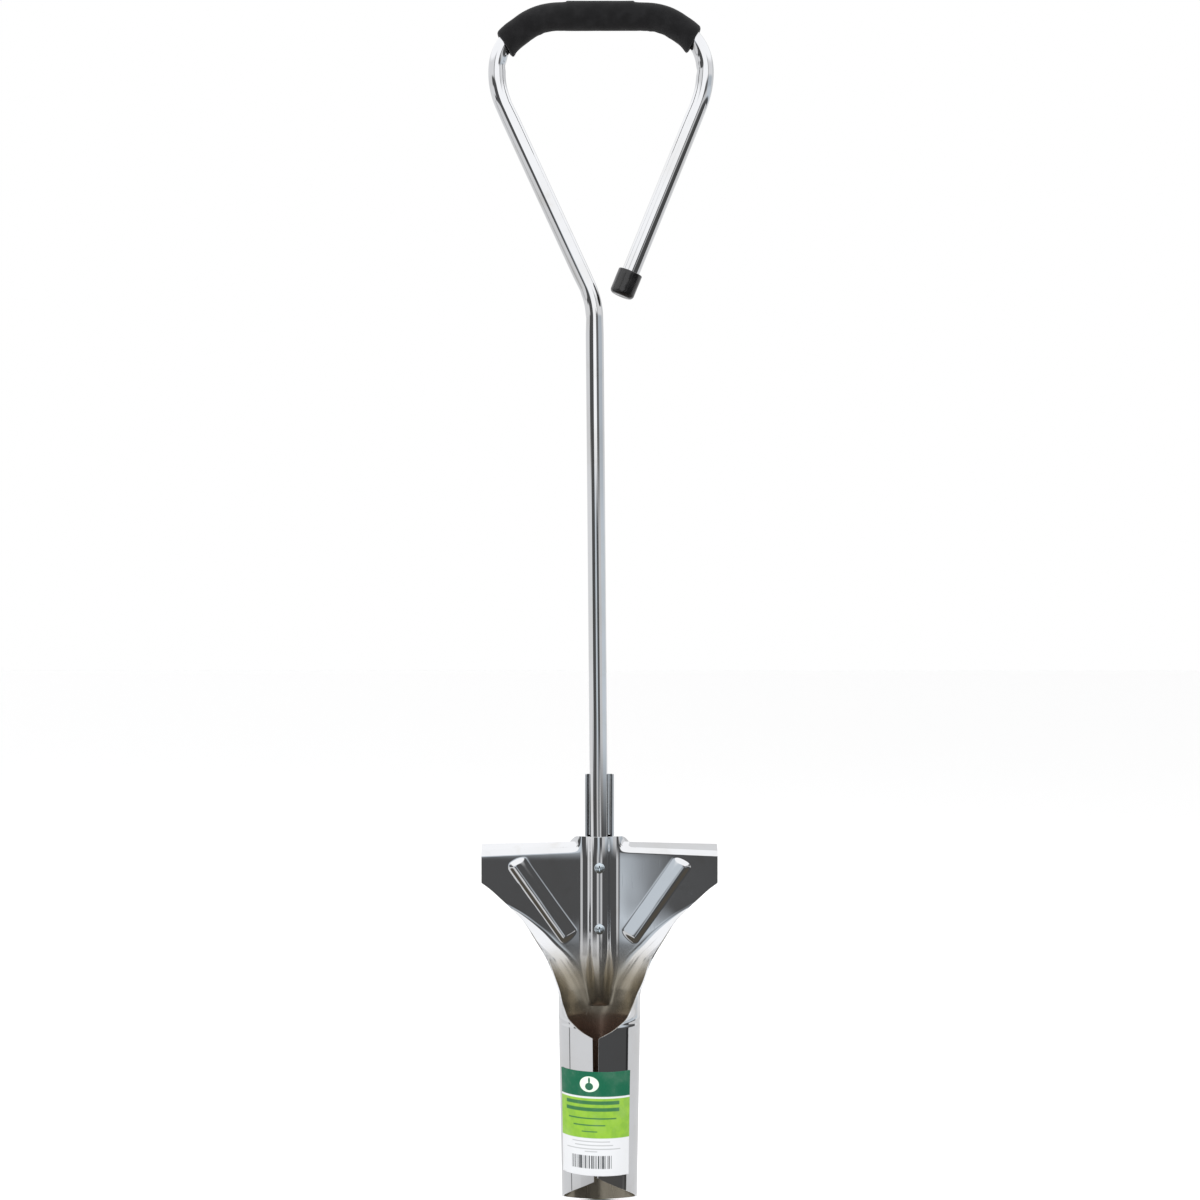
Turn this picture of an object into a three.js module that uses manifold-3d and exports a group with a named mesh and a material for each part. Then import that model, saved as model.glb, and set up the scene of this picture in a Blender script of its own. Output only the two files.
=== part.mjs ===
// Long-handled bulb planter: a bent chromed tube handle with a foam grip, screwed to a blade
// that is pressed and rolled from one sheet of steel into foot treads, a funnel and a soil tube.
// Millimetres, +Z up, the soil tube's open side and the ridge face -Y.

import * as THREE from "three";
import { mergeVertices } from "three/addons/utils/BufferGeometryUtils.js";
import Module from "manifold-3d";

const wasm = await Module();
wasm.setup();

// Clearance kept between neighbouring pieces
const GAP = 0.3;

// Handle tube: centreline corners in the XZ plane and the bend radius at each inner corner
const TUBE_R = 7.2;
const TUBE_WALL = 1.2;
const TUBE_SIDES = 16;
const ARC_STEP = THREE.MathUtils.degToRad(11);
const FOOT_END = [0.46, 203];
const NECK = [-4.1, 723.8];
const LEFT_SHOULDER = [-84.06, 897.3];
const LEFT_TURN = [-81.12, 930.9];
const LEFT_CORNER = [-48.7, 954.5];
const RIGHT_CORNER = [51.2, 954.5];
const RIGHT_TURN = [85.2, 931.5];
const RIGHT_SHOULDER = [85.2, 895.1];
const FREE_END = [18.3, 731.0];
const BEND_RADII = [64, 65, 36, 45, 45, 40.3, 76];

// Foam grip, pushed over the top bend. Its ends slant, because the foam doesn't stretch
const GRIP_R = 12;
const GRIP_LENGTH = 167.2;
const GRIP_FROM_FREE_END = 218.5;
const GRIP_END_SLANT = 4.8;

// Vinyl cap on the free end
const CAP_R = 10;
const CAP_LENGTH = 21;
const CAP_FLOOR = 2.5;
const CAP_ROUNDING = 3;

// Blade sheet. Heights are measured up the flat blank, widths from its middle line
const SHEET = 1.4;
const BLANK_HEIGHT = 292.6;
const WING_HALF_WIDTH = 95.3;
const TREAD_BEND_START = 276.1;
const TREAD_BEND_RISE = 4.2;
const TREAD_BEND_R = 5.3;
const TREAD_ANGLE = THREE.MathUtils.degToRad(70);
const TREAD_CLEAR_FROM = 15;
const TREAD_CLEAR_TO = 25;

// Soil tube: radius of the sheet's middle at the rim and at the mouth, seam gap, how far the
// seam lies to the left of the middle and over which heights that fades out, raised front rim
const SOIL_TUBE_RIM_R = 28.8;
const SOIL_TUBE_MOUTH_R = 31.4;
const MOUTH_HEIGHT = 140.4;
const RIM_PEAK = 29.6;
const RIM_POWER = 1.6;
const RIM_FADE = 120;
const SEAM_AT_RIM = 1.8;
const SEAM_AT_MOUTH = 4.6;
const SEAM_ASIDE = 3;
const SEAM_ASIDE_FROM = 164;
const SEAM_ASIDE_TO = 190;

// Blank edge above the mouth: [height, half width], narrow waist, then out to the wings
const BLANK_EDGE = [
  [MOUTH_HEIGHT, 96.3],
  [146, 85.8],
  [152, 76.4],
  [158, 68.2],
  [164, 60.1],
  [170, 52.8],
  [176, 47.6],
  [184, 44.3],
  [192, 44.2],
  [200, 47],
  [209, 51.9],
  [218, 57.2],
  [226, 62.9],
  [234, 71],
  [242, 79.6],
  [250, 88.5],
  [255, WING_HALF_WIDTH],
];

// Funnel: the flat back widens with height until it takes in the whole blank, and the rolled
// sides open out. Both as [height, size]
const FLAT_HALF_WIDTH = [
  [150, 0],
  [162, 4],
  [175, 11.5],
  [192.6, 24],
  [204.7, 36.2],
  [212.7, 44.5],
  [218, 50.8],
  [224, 58.5],
  [230, 67],
  [236, 77],
  [245, 92],
  [255, 110],
];
const ROLL_RADIUS = [
  [MOUTH_HEIGHT, SOIL_TUBE_MOUTH_R],
  [152, 31.1],
  [162, 27.6],
  [173, 22.6],
  [187, 20.2],
  [203, 18.2],
  [225, 15.5],
];

// Pressed ridge that the handle tube lies in, and the slanting stiffening ribs, which are steep
// on the side of the wing's tip and gentle on the ridge's side
const RIDGE_R = 8.4;
const RIDGE_FILLET = 11;
const RIDGE_FOOT = Math.sqrt((RIDGE_R + RIDGE_FILLET) ** 2 - RIDGE_FILLET ** 2);
const RIDGE_SHOULDER = (RIDGE_R * RIDGE_FOOT) / (RIDGE_R + RIDGE_FILLET);
const RIDGE_END = 157;
const RIDGE_FULL = 196;
const RIDGE_END_WIDTH = 0.72;
const RIB_TOP = [69, 268];
const RIB_BOTTOM = [28.5, 211];
const RIB_OUTER_WIDTH = 5.4;
const RIB_INNER_WIDTH = 13;
const RIB_HEIGHT = 2.3;

// Rear channel: a U section behind the tube, open to the front
const CHANNEL_WIDTH = 23;
const CHANNEL_WALL = 1.5;
const CHANNEL_FLOOR = 7.6;
const CHANNEL_BEND_R = 3;
const CHANNEL_BOTTOM = 205;
const CHANNEL_TOP = 342.5;

// Screws, lock washers and nuts, through the ridge, the tube and the channel
const SCREW_HEIGHTS = { upper: 267.9, lower: 218.9 };
const SCREW_R = 2;
const SCREW_HEAD_R = 4.2;
const SCREW_HEAD_HEIGHT = 2.6;
const SCREW_HOLE_R = 2.4;
const SCREW_LENGTH = 25.2;
const RECESS_LENGTH = 4.2;
const RECESS_WIDTH = 0.9;
const RECESS_DEPTH = 1.3;
const WASHER_R = 4.1;
const WASHER_BORE_R = 2.35;
const WASHER_THICKNESS = 1.1;
const WASHER_SLIT = 0.12;
const NUT_ACROSS_FLATS = 7;
const NUT_THICKNESS = 3.2;

// Paper label round the front of the soil tube
const LABEL_BOTTOM = 32.3;
const LABEL_TOP = 114.4;
const LABEL_THICKNESS = 0.2;
const LABEL_LEFT = THREE.MathUtils.degToRad(-69);
const LABEL_RIGHT = THREE.MathUtils.degToRad(51);
const LABEL_STEP = THREE.MathUtils.degToRad(6);

// Finishes
const chromeLook = { color: 0xc9ccd0, metalness: 1, roughness: 0.08 };
const steelLook = { color: 0xaab2ba, metalness: 1, roughness: 0.25 };
const foamLook = { color: 0x141416, metalness: 0, roughness: 0.9 };
const vinylLook = { color: 0x0b0b0d, metalness: 0, roughness: 0.22 };
const labelLook = { color: 0x6aa84a, metalness: 0, roughness: 0.5 };

function piece(name, geometry, look) {
  const mesh = new THREE.Mesh(geometry, new THREE.MeshStandardMaterial(look));
  mesh.name = name;
  return mesh;
}

// ---- helpers ----

function range(count) {
  return Array.from({ length: count }, (_, i) => i);
}

function clamp01(value) {
  return THREE.MathUtils.clamp(value, 0, 1);
}

// Smooth curve through [x, y] points, flat beyond both ends
function curveThrough(points, x) {
  const last = points.length - 1;
  if (x <= points[0][0]) return points[0][1];
  if (x >= points[last][0]) return points[last][1];
  const i = points.findIndex((point) => point[0] > x) - 1;
  const slopeAt = (k) => {
    const before = points[Math.max(k - 1, 0)];
    const after = points[Math.min(k + 1, last)];
    return (after[1] - before[1]) / (after[0] - before[0]);
  };
  const [x0, y0] = points[i];
  const [x1, y1] = points[i + 1];
  const width = x1 - x0;
  const t = (x - x0) / width;
  const rise = 3 * t * t - 2 * t * t * t;
  const start = (t * t * t - 2 * t * t + t) * width * slopeAt(i);
  const finish = (t * t * t - t * t) * width * slopeAt(i + 1);
  return y0 + (y1 - y0) * rise + start + finish;
}

function toSolid(geometry) {
  const bare = geometry.clone();
  bare.deleteAttribute("normal");
  bare.deleteAttribute("uv");
  const merged = mergeVertices(bare);
  const vertProperties = new Float32Array(merged.attributes.position.array);
  const triVerts = new Uint32Array(merged.index.array);
  return new wasm.Manifold(new wasm.Mesh({ numProp: 3, vertProperties, triVerts }));
}

function fromSolid(solid) {
  const mesh = solid.getMesh();
  const geometry = new THREE.BufferGeometry();
  geometry.setAttribute("position", new THREE.BufferAttribute(mesh.vertProperties, 3));
  geometry.setIndex(new THREE.BufferAttribute(mesh.triVerts, 1));
  geometry.computeVertexNormals();
  return geometry;
}

function cut(geometry, cutters) {
  const result = cutters.reduce((solid, cutter) => solid.subtract(toSolid(cutter)), toSolid(geometry));
  return fromSolid(result);
}

// Drill rods for both screw holes, along Y from one depth to another
function screwHoleCutters(fromY, toY) {
  return Object.values(SCREW_HEIGHTS).map((height) => {
    const rod = new THREE.CylinderGeometry(SCREW_HOLE_R, SCREW_HOLE_R, toY - fromY, TUBE_SIDES);
    return rod.translate(0, (fromY + toY) / 2, height);
  });
}

// Unit normal of a surface(u, v), on the side that faces -Y when u runs along +X and v up
function surfaceNormal(surface, u, v) {
  const step = 1e-3;
  const along = surface(u + step, v).sub(surface(u - step, v));
  const up = surface(u, v + step).sub(surface(u, v - step));
  return along.cross(up).normalize();
}

// Closed body of even thickness about a middle surface, sampled at given columns and rows
function sheetSolid(surface, columns, rows, thickness) {
  const positions = [];
  for (const offset of [-thickness / 2, thickness / 2]) {
    for (const v of rows) {
      for (const u of columns) {
        const point = surface(u, v).addScaledVector(surfaceNormal(surface, u, v), offset);
        positions.push(point.x, point.y, point.z);
      }
    }
  }
  const index = [];
  const back = (i, j) => j * columns.length + i;
  const front = (i, j) => (rows.length + j) * columns.length + i;
  const quad = (a, b, c, d) => index.push(a, b, c, a, c, d);
  const lastColumn = columns.length - 1;
  const lastRow = rows.length - 1;
  for (const i of range(lastColumn)) {
    for (const j of range(lastRow)) {
      quad(front(i, j), front(i + 1, j), front(i + 1, j + 1), front(i, j + 1));
      quad(back(i, j), back(i, j + 1), back(i + 1, j + 1), back(i + 1, j));
    }
    quad(back(i, 0), back(i + 1, 0), front(i + 1, 0), front(i, 0));
    quad(front(i, lastRow), front(i + 1, lastRow), back(i + 1, lastRow), back(i, lastRow));
  }
  for (const j of range(lastRow)) {
    quad(front(0, j), front(0, j + 1), back(0, j + 1), back(0, j));
    quad(back(lastColumn, j), back(lastColumn, j + 1), front(lastColumn, j + 1), front(lastColumn, j));
  }
  const geometry = new THREE.BufferGeometry();
  geometry.setAttribute("position", new THREE.Float32BufferAttribute(positions, 3));
  geometry.setIndex(index);
  geometry.computeVertexNormals();
  return geometry;
}

// ---- handle: one bent tube ----

// Straights and arcs in the XZ plane. Its stations sit at the ends of the straights and
// along the arcs, not at even distances
class BentPath extends THREE.Curve {
  constructor(stretches) {
    super();
    this.stretches = stretches;
    this.steps = stretches.reduce((sum, stretch) => sum + stretch.steps, 0);
  }

  getUtoTmapping(u) {
    return u;
  }

  getPoint(t) {
    let rest = clamp01(t) * this.steps;
    let k = 0;
    while (rest > this.stretches[k].steps && k < this.stretches.length - 1) {
      rest -= this.stretches[k].steps;
      k += 1;
    }
    const { curve, steps } = this.stretches[k];
    const point = curve.getPoint(Math.min(rest / steps, 1));
    return new THREE.Vector3(point.x, 0, point.y);
  }
}

// Stretches of the line through the corners, with an arc of the given radius in each inner corner
function bentLine(corners, radii) {
  const points = corners.map(([x, z]) => new THREE.Vector2(x, z));
  const stretches = [];
  let start = points[0];
  radii.forEach((radius, k) => {
    const corner = points[k + 1];
    const arriving = corner.clone().sub(points[k]).normalize();
    const leaving = points[k + 2].clone().sub(corner).normalize();
    const turn = Math.atan2(arriving.cross(leaving), arriving.dot(leaving));
    const tangent = radius * Math.tan(Math.abs(turn) / 2);
    const arcStart = corner.clone().addScaledVector(arriving, -tangent);
    const side = new THREE.Vector2(-arriving.y, arriving.x).multiplyScalar(Math.sign(turn) * radius);
    const centre = arcStart.clone().add(side);
    const angle = Math.atan2(-side.y, -side.x);
    const arc = new THREE.EllipseCurve(
      centre.x, centre.y, radius, radius, angle, angle + turn, turn < 0,
    );
    stretches.push({ curve: new THREE.LineCurve(start, arcStart), steps: 1 });
    stretches.push({ curve: arc, steps: Math.ceil(Math.abs(turn) / ARC_STEP) });
    start = corner.clone().addScaledVector(leaving, tangent);
  });
  stretches.push({ curve: new THREE.LineCurve(start, points[points.length - 1]), steps: 1 });
  return stretches;
}

// The part of a bent line between two distances from its start
function trimmed(stretches, from, to) {
  let travelled = 0;
  const kept = [];
  for (const { curve, steps } of stretches) {
    const length = curve.getLength();
    const a = clamp01((from - travelled) / length);
    const b = clamp01((to - travelled) / length);
    travelled += length;
    if (b <= a) continue;
    const count = Math.max(1, Math.round(steps * (b - a)));
    if (curve.isEllipseCurve) {
      const sweep = curve.aEndAngle - curve.aStartAngle;
      const first = curve.aStartAngle + sweep * a;
      const second = curve.aStartAngle + sweep * b;
      const arc = new THREE.EllipseCurve(
        curve.aX, curve.aY, curve.xRadius, curve.yRadius, first, second, curve.aClockwise,
      );
      kept.push({ curve: arc, steps: count });
    } else {
      kept.push({ curve: new THREE.LineCurve(curve.getPoint(a), curve.getPoint(b)), steps: count });
    }
  }
  return kept;
}

function ringAlong(stretches, outerR, innerR) {
  const ring = new THREE.Shape().absarc(0, 0, outerR, 0, 2 * Math.PI, false);
  ring.holes.push(new THREE.Path().absarc(0, 0, innerR, 0, 2 * Math.PI, true));
  const extrudePath = new BentPath(stretches);
  const steps = extrudePath.steps;
  return new THREE.ExtrudeGeometry(ring, { extrudePath, steps, curveSegments: TUBE_SIDES / 2 });
}

const leftCorners = [NECK, LEFT_SHOULDER, LEFT_TURN, LEFT_CORNER];
const rightCorners = [RIGHT_CORNER, RIGHT_TURN, RIGHT_SHOULDER];
const handleLine = bentLine([FOOT_END, ...leftCorners, ...rightCorners, FREE_END], BEND_RADII);

function handleTube() {
  const tube = ringAlong(handleLine, TUBE_R, TUBE_R - TUBE_WALL);
  return piece("handle_tube", cut(tube, screwHoleCutters(-CHANNEL_WIDTH, CHANNEL_WIDTH)), chromeLook);
}

// Slants one flat end of a sleeve about the end's middle: the side towards the inside of the
// bend moves outwards and the other side inwards. outwards is a unit vector along the line
function slantEnd(geometry, middle, outwards, inside) {
  const spots = geometry.attributes.position;
  const spot = new THREE.Vector3();
  for (const i of range(spots.count)) {
    const away = spot.fromBufferAttribute(spots, i).sub(middle);
    if (Math.abs(away.dot(outwards)) > GAP) continue;
    away.addScaledVector(outwards, (GRIP_END_SLANT * away.dot(inside)) / GRIP_R).add(middle);
    spots.setXYZ(i, away.x, away.y, away.z);
  }
}

function foamGrip() {
  const total = handleLine.reduce((sum, stretch) => sum + stretch.curve.getLength(), 0);
  const end = total - GRIP_FROM_FREE_END;
  const covered = trimmed(handleLine, end - GRIP_LENGTH, end);
  const sleeve = ringAlong(covered, GRIP_R, TUBE_R + GAP);
  for (const [stretch, at, sign] of [[covered[0], 0, -1], [covered[covered.length - 1], 1, 1]]) {
    const middle = stretch.curve.getPoint(at);
    const heading = stretch.curve.getTangent(at);
    const inside = new THREE.Vector3(heading.y, 0, -heading.x);
    const outwards = new THREE.Vector3(heading.x, 0, heading.y).multiplyScalar(sign);
    slantEnd(sleeve, new THREE.Vector3(middle.x, 0, middle.y), outwards, inside);
  }
  return piece("foam_grip", sleeve, foamLook);
}

function tubeEndCap() {
  const innerR = TUBE_R + GAP;
  const outline = new THREE.Path();
  outline.moveTo(0, -CAP_FLOOR - GAP);
  outline.lineTo(CAP_R - CAP_ROUNDING, -CAP_FLOOR - GAP);
  outline.absarc(CAP_R - CAP_ROUNDING, CAP_ROUNDING - CAP_FLOOR - GAP, CAP_ROUNDING, -Math.PI / 2, 0);
  outline.lineTo(CAP_R, CAP_LENGTH - CAP_FLOOR - GAP);
  outline.lineTo(innerR, CAP_LENGTH - CAP_FLOOR - GAP);
  outline.lineTo(innerR, -GAP);
  outline.lineTo(0, -GAP);
  const cap = piece("tube_end_cap", new THREE.LatheGeometry(outline.getPoints(4), 24), vinylLook);
  const leg = new THREE.Vector3(RIGHT_SHOULDER[0] - FREE_END[0], 0, RIGHT_SHOULDER[1] - FREE_END[1]);
  cap.quaternion.setFromUnitVectors(new THREE.Vector3(0, 1, 0), leg.normalize());
  cap.position.set(FREE_END[0], 0, FREE_END[1]);
  return cap;
}

// ---- blade: one pressed and rolled sheet ----

function soilTubeRadius(height) {
  const upTheTube = clamp01(height / MOUTH_HEIGHT);
  return THREE.MathUtils.lerp(SOIL_TUBE_RIM_R, SOIL_TUBE_MOUTH_R, upTheTube);
}

// Width of the flat blank from its middle line to its right (1) or left (-1) edge at a height
function blankEdge(height, sign) {
  const fade = 1 - THREE.MathUtils.smoothstep(height, SEAM_ASIDE_FROM, SEAM_ASIDE_TO);
  const aside = sign * SEAM_ASIDE * fade;
  if (height > MOUTH_HEIGHT) return curveThrough(BLANK_EDGE, height) + aside;
  const seam = THREE.MathUtils.lerp(SEAM_AT_RIM, SEAM_AT_MOUTH, clamp01(height / MOUTH_HEIGHT));
  return Math.PI * soilTubeRadius(height) - seam / 2 + aside;
}

function rollRadius(height) {
  return height > MOUTH_HEIGHT ? curveThrough(ROLL_RADIUS, height) : soilTubeRadius(height);
}

// Pressed height of the ridge: a round crown, filleted into the sheet, with a domed lower end
function ridgeHeight(across, height) {
  const climb = clamp01((height - RIDGE_END) / (RIDGE_FULL - RIDGE_END));
  const dome = Math.sqrt(1 - (1 - climb) ** 2);
  const x = Math.abs(across) / THREE.MathUtils.lerp(RIDGE_END_WIDTH, 1, climb);
  if (x >= RIDGE_FOOT) return 0;
  if (x <= RIDGE_SHOULDER) return dome * Math.sqrt(RIDGE_R ** 2 - x ** 2);
  return dome * (RIDGE_FILLET - Math.sqrt(RIDGE_FILLET ** 2 - (RIDGE_FOOT - x) ** 2));
}

// Pressed height of the two ribs: a rounded bar along a slanting line
function ribHeight(across, height) {
  const bottom = new THREE.Vector2(...RIB_BOTTOM);
  const line = new THREE.Vector2(...RIB_TOP).sub(bottom);
  const spot = new THREE.Vector2(Math.abs(across), height).sub(bottom);
  const along = spot.dot(line) / line.length();
  const beyond = along - THREE.MathUtils.clamp(along, 0, line.length());
  const outside = spot.cross(line) / line.length();
  const width = outside > 0 ? RIB_OUTER_WIDTH : RIB_INNER_WIDTH;
  const away = clamp01(Math.hypot(outside / width, beyond / RIB_OUTER_WIDTH));
  return RIB_HEIGHT * (1 - away ** 2) ** 2;
}

// Middle of the rolled sheet before pressing: flat across the back, then an arc to the edge
function rolledSheet(across, height) {
  const flat = Math.min(curveThrough(FLAT_HALF_WIDTH, height), Math.abs(across));
  const radius = rollRadius(height);
  const turn = (Math.abs(across) - flat) / radius;
  const x = Math.sign(across) * (flat + radius * Math.sin(turn));
  return new THREE.Vector3(x, -radius * (1 - Math.cos(turn)), height);
}

// Folds the top of the wings backwards into foot treads, and leaves the ridge standing
function foldTread(point) {
  const start = TREAD_BEND_START + TREAD_BEND_RISE * (1 - Math.abs(point.x) / WING_HALF_WIDTH);
  const over = point.z - start;
  const share = THREE.MathUtils.smoothstep(Math.abs(point.x), TREAD_CLEAR_FROM, TREAD_CLEAR_TO);
  if (over <= 0 || share === 0) return point;
  const fullTurn = TREAD_ANGLE * share;
  const radius = TREAD_BEND_R / share;
  const turn = Math.min(over / radius, fullTurn);
  const straight = Math.max(over - radius * fullTurn, 0);
  point.z = start + radius * Math.sin(turn) + straight * Math.cos(turn);
  point.y += radius * (1 - Math.cos(turn)) + straight * Math.sin(turn);
  return point;
}

function bladeSurface(across, height) {
  const base = rolledSheet(across, height);
  const pressed = ridgeHeight(across, height) + ribHeight(across, height);
  if (pressed > 0) base.addScaledVector(surfaceNormal(rolledSheet, across, height), pressed);
  return foldTread(base);
}

// Columns of the blade, from -1 to 1: fixed places over the ridge, even shares beyond it
function bladeColumns() {
  const crown = [2.2, 4.3, 5.8, RIDGE_SHOULDER, 8.7, 10.6, 12.6, 14.3, RIDGE_FOOT];
  const ridge = crown.map((x) => ({ fixed: x, share: 0 }));
  const shares = [0.06, 0.13, 0.21, 0.3, 0.4, 0.5, 0.6, 0.7, 0.8, 0.9, 1];
  const outer = shares.map((share) => ({ fixed: RIDGE_FOOT, share }));
  const right = [...ridge, ...outer].map((column) => ({ ...column, sign: 1 }));
  const left = [...right].reverse().map((column) => ({ ...column, sign: -1 }));
  return [...left, { fixed: 0, share: 0, sign: 1 }, ...right];
}

function bladeRows() {
  const tube = [0, 25, 50, 75, 100, 122];
  const funnel = [MOUTH_HEIGHT, 145, 150, RIDGE_END, 160, 165, 171, 177, 183, 189, RIDGE_FULL];
  const wings = [204, 212, 220, 228, 236, 244, 251, 257, 265, TREAD_BEND_START];
  const bendEnd = TREAD_BEND_START + TREAD_BEND_RISE + TREAD_BEND_R * TREAD_ANGLE;
  const bend = [278.3, 280.3, 282.4, 284.6, bendEnd, BLANK_HEIGHT];
  return [...tube, ...funnel, ...wings, ...bend];
}

// Sheet position of a column and row: the rim row follows the raised front rim
function bladePoint(column, row) {
  const nominal = column.fixed + column.share * (blankEdge(row, column.sign) - column.fixed);
  const lift = (nominal / (Math.PI * SOIL_TUBE_RIM_R)) ** RIM_POWER;
  const height = row + RIM_PEAK * lift * clamp01(1 - row / RIM_FADE);
  const across = column.fixed + column.share * (blankEdge(height, column.sign) - column.fixed);
  return { across: column.sign * across, height };
}

function blade() {
  const columns = bladeColumns();
  const rows = bladeRows();
  const places = new Map();
  columns.forEach((column, i) => rows.forEach((row, j) => places.set(`${i},${j}`, bladePoint(column, row))));
  const surface = (u, v) => {
    const { across, height } = places.get(`${Math.round(u)},${Math.round(v)}`);
    return bladeSurface(across + (u - Math.round(u)), height + (v - Math.round(v)));
  };
  const sheet = sheetSolid(surface, range(columns.length), range(rows.length), SHEET);
  return piece("blade", cut(sheet, screwHoleCutters(-CHANNEL_WIDTH, 0)), chromeLook);
}

// ---- rear channel ----

function rearChannel() {
  const half = CHANNEL_WIDTH / 2;
  const rim = SHEET / 2 + GAP;
  const back = CHANNEL_FLOOR + CHANNEL_WALL;
  const outerR = CHANNEL_BEND_R;
  const innerR = CHANNEL_BEND_R - CHANNEL_WALL;
  const inside = half - CHANNEL_WALL;
  const section = new THREE.Shape();
  section.moveTo(half, rim);
  section.absarc(half - outerR, back - outerR, outerR, 0, Math.PI / 2, false);
  section.absarc(outerR - half, back - outerR, outerR, Math.PI / 2, Math.PI, false);
  section.lineTo(-half, rim);
  section.lineTo(-inside, rim);
  section.absarc(innerR - inside, CHANNEL_FLOOR - innerR, innerR, Math.PI, Math.PI / 2, true);
  section.absarc(inside - innerR, CHANNEL_FLOOR - innerR, innerR, Math.PI / 2, 0, true);
  section.lineTo(inside, rim);
  const depth = CHANNEL_TOP - CHANNEL_BOTTOM;
  const body = new THREE.ExtrudeGeometry(section, { depth, bevelEnabled: false, curveSegments: 4 });
  body.translate(0, 0, CHANNEL_BOTTOM);
  return piece("rear_channel", cut(body, screwHoleCutters(0, CHANNEL_WIDTH)), chromeLook);
}

// ---- fasteners ----

const SCREW_SEAT = -(RIDGE_R + SHEET / 2 + GAP);
const NUT_SIDE = CHANNEL_FLOOR + CHANNEL_WALL + GAP;

// Pan-head screw along +Y with a cross recess, its head's underside at the origin
function screw(name, height) {
  const outline = new THREE.Path();
  outline.moveTo(0, -SCREW_HEAD_HEIGHT);
  outline.lineTo(SCREW_HEAD_R - SCREW_HEAD_HEIGHT / 2, -SCREW_HEAD_HEIGHT);
  outline.quadraticCurveTo(SCREW_HEAD_R, -SCREW_HEAD_HEIGHT, SCREW_HEAD_R, -SCREW_HEAD_HEIGHT / 3);
  outline.lineTo(SCREW_HEAD_R, 0);
  outline.lineTo(SCREW_R, 0);
  outline.lineTo(SCREW_R, SCREW_LENGTH - SCREW_R / 2);
  outline.lineTo(SCREW_R / 2, SCREW_LENGTH);
  outline.lineTo(0, SCREW_LENGTH);
  const body = new THREE.LatheGeometry(outline.getPoints(4), 20);
  const slots = [0, Math.PI / 2].map((angle) => {
    const slot = new THREE.BoxGeometry(RECESS_LENGTH, 2 * RECESS_DEPTH, RECESS_WIDTH);
    return slot.rotateY(angle).translate(0, -SCREW_HEAD_HEIGHT, 0);
  });
  const mesh = piece(name, cut(body, slots), steelLook);
  mesh.position.set(0, SCREW_SEAT, height);
  return mesh;
}

// Extrudes a section drawn in the XZ plane along +Y from the back of the channel
function fastenerPlate(name, section, startY, thickness, height) {
  const options = { depth: thickness, bevelEnabled: false, curveSegments: 10 };
  const plate = new THREE.ExtrudeGeometry(section, options).rotateX(-Math.PI / 2);
  const mesh = piece(name, plate, steelLook);
  mesh.position.set(0, startY, height);
  return mesh;
}

function lockWasher(name, height) {
  const ring = new THREE.Shape();
  ring.absarc(0, 0, WASHER_R, WASHER_SLIT, 2 * Math.PI - WASHER_SLIT, false);
  ring.absarc(0, 0, WASHER_BORE_R, 2 * Math.PI - WASHER_SLIT, WASHER_SLIT, true);
  return fastenerPlate(name, ring, NUT_SIDE, WASHER_THICKNESS, height);
}

function nut(name, height) {
  const cornerR = NUT_ACROSS_FLATS / 2 / Math.cos(Math.PI / 6);
  const corners = range(6).map((k) => {
    const angle = (k * Math.PI) / 3;
    return new THREE.Vector2(cornerR * Math.cos(angle), cornerR * Math.sin(angle));
  });
  const hexagon = new THREE.Shape(corners);
  hexagon.holes.push(new THREE.Path().absarc(0, 0, SCREW_R + GAP, 0, 2 * Math.PI, true));
  return fastenerPlate(name, hexagon, NUT_SIDE + WASHER_THICKNESS + GAP, NUT_THICKNESS, height);
}

// ---- label ----

function label() {
  const surface = (angle, height) => {
    const axis = soilTubeRadius(height);
    const radius = axis + SHEET / 2 + GAP + LABEL_THICKNESS / 2;
    return new THREE.Vector3(radius * Math.sin(angle), -axis - radius * Math.cos(angle), height);
  };
  const count = Math.round((LABEL_RIGHT - LABEL_LEFT) / LABEL_STEP);
  const columns = range(count + 1).map((i) => THREE.MathUtils.lerp(LABEL_LEFT, LABEL_RIGHT, i / count));
  return piece("label", sheetSolid(surface, columns, [LABEL_BOTTOM, LABEL_TOP], LABEL_THICKNESS), labelLook);
}

// ---- assembly ----

const tool = new THREE.Group();
tool.add(handleTube(), foamGrip(), tubeEndCap(), blade(), rearChannel(), label());
for (const [place, height] of Object.entries(SCREW_HEIGHTS)) {
  tool.add(screw(`${place}_screw`, height));
  tool.add(lockWasher(`${place}_lock_washer`, height));
  tool.add(nut(`${place}_nut`, height));
}

// Put the origin on the soil tube's axis, in the plane of its lowest rim
const lowestRim = new THREE.Box3().setFromObject(tool, true).min.z;
tool.position.set(0, soilTubeRadius(0), -lowestRim);

const bulbPlanter = new THREE.Group();
bulbPlanter.add(tool);

export default bulbPlanter;
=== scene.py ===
import math
import bmesh
import bpy
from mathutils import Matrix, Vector, noise


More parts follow.
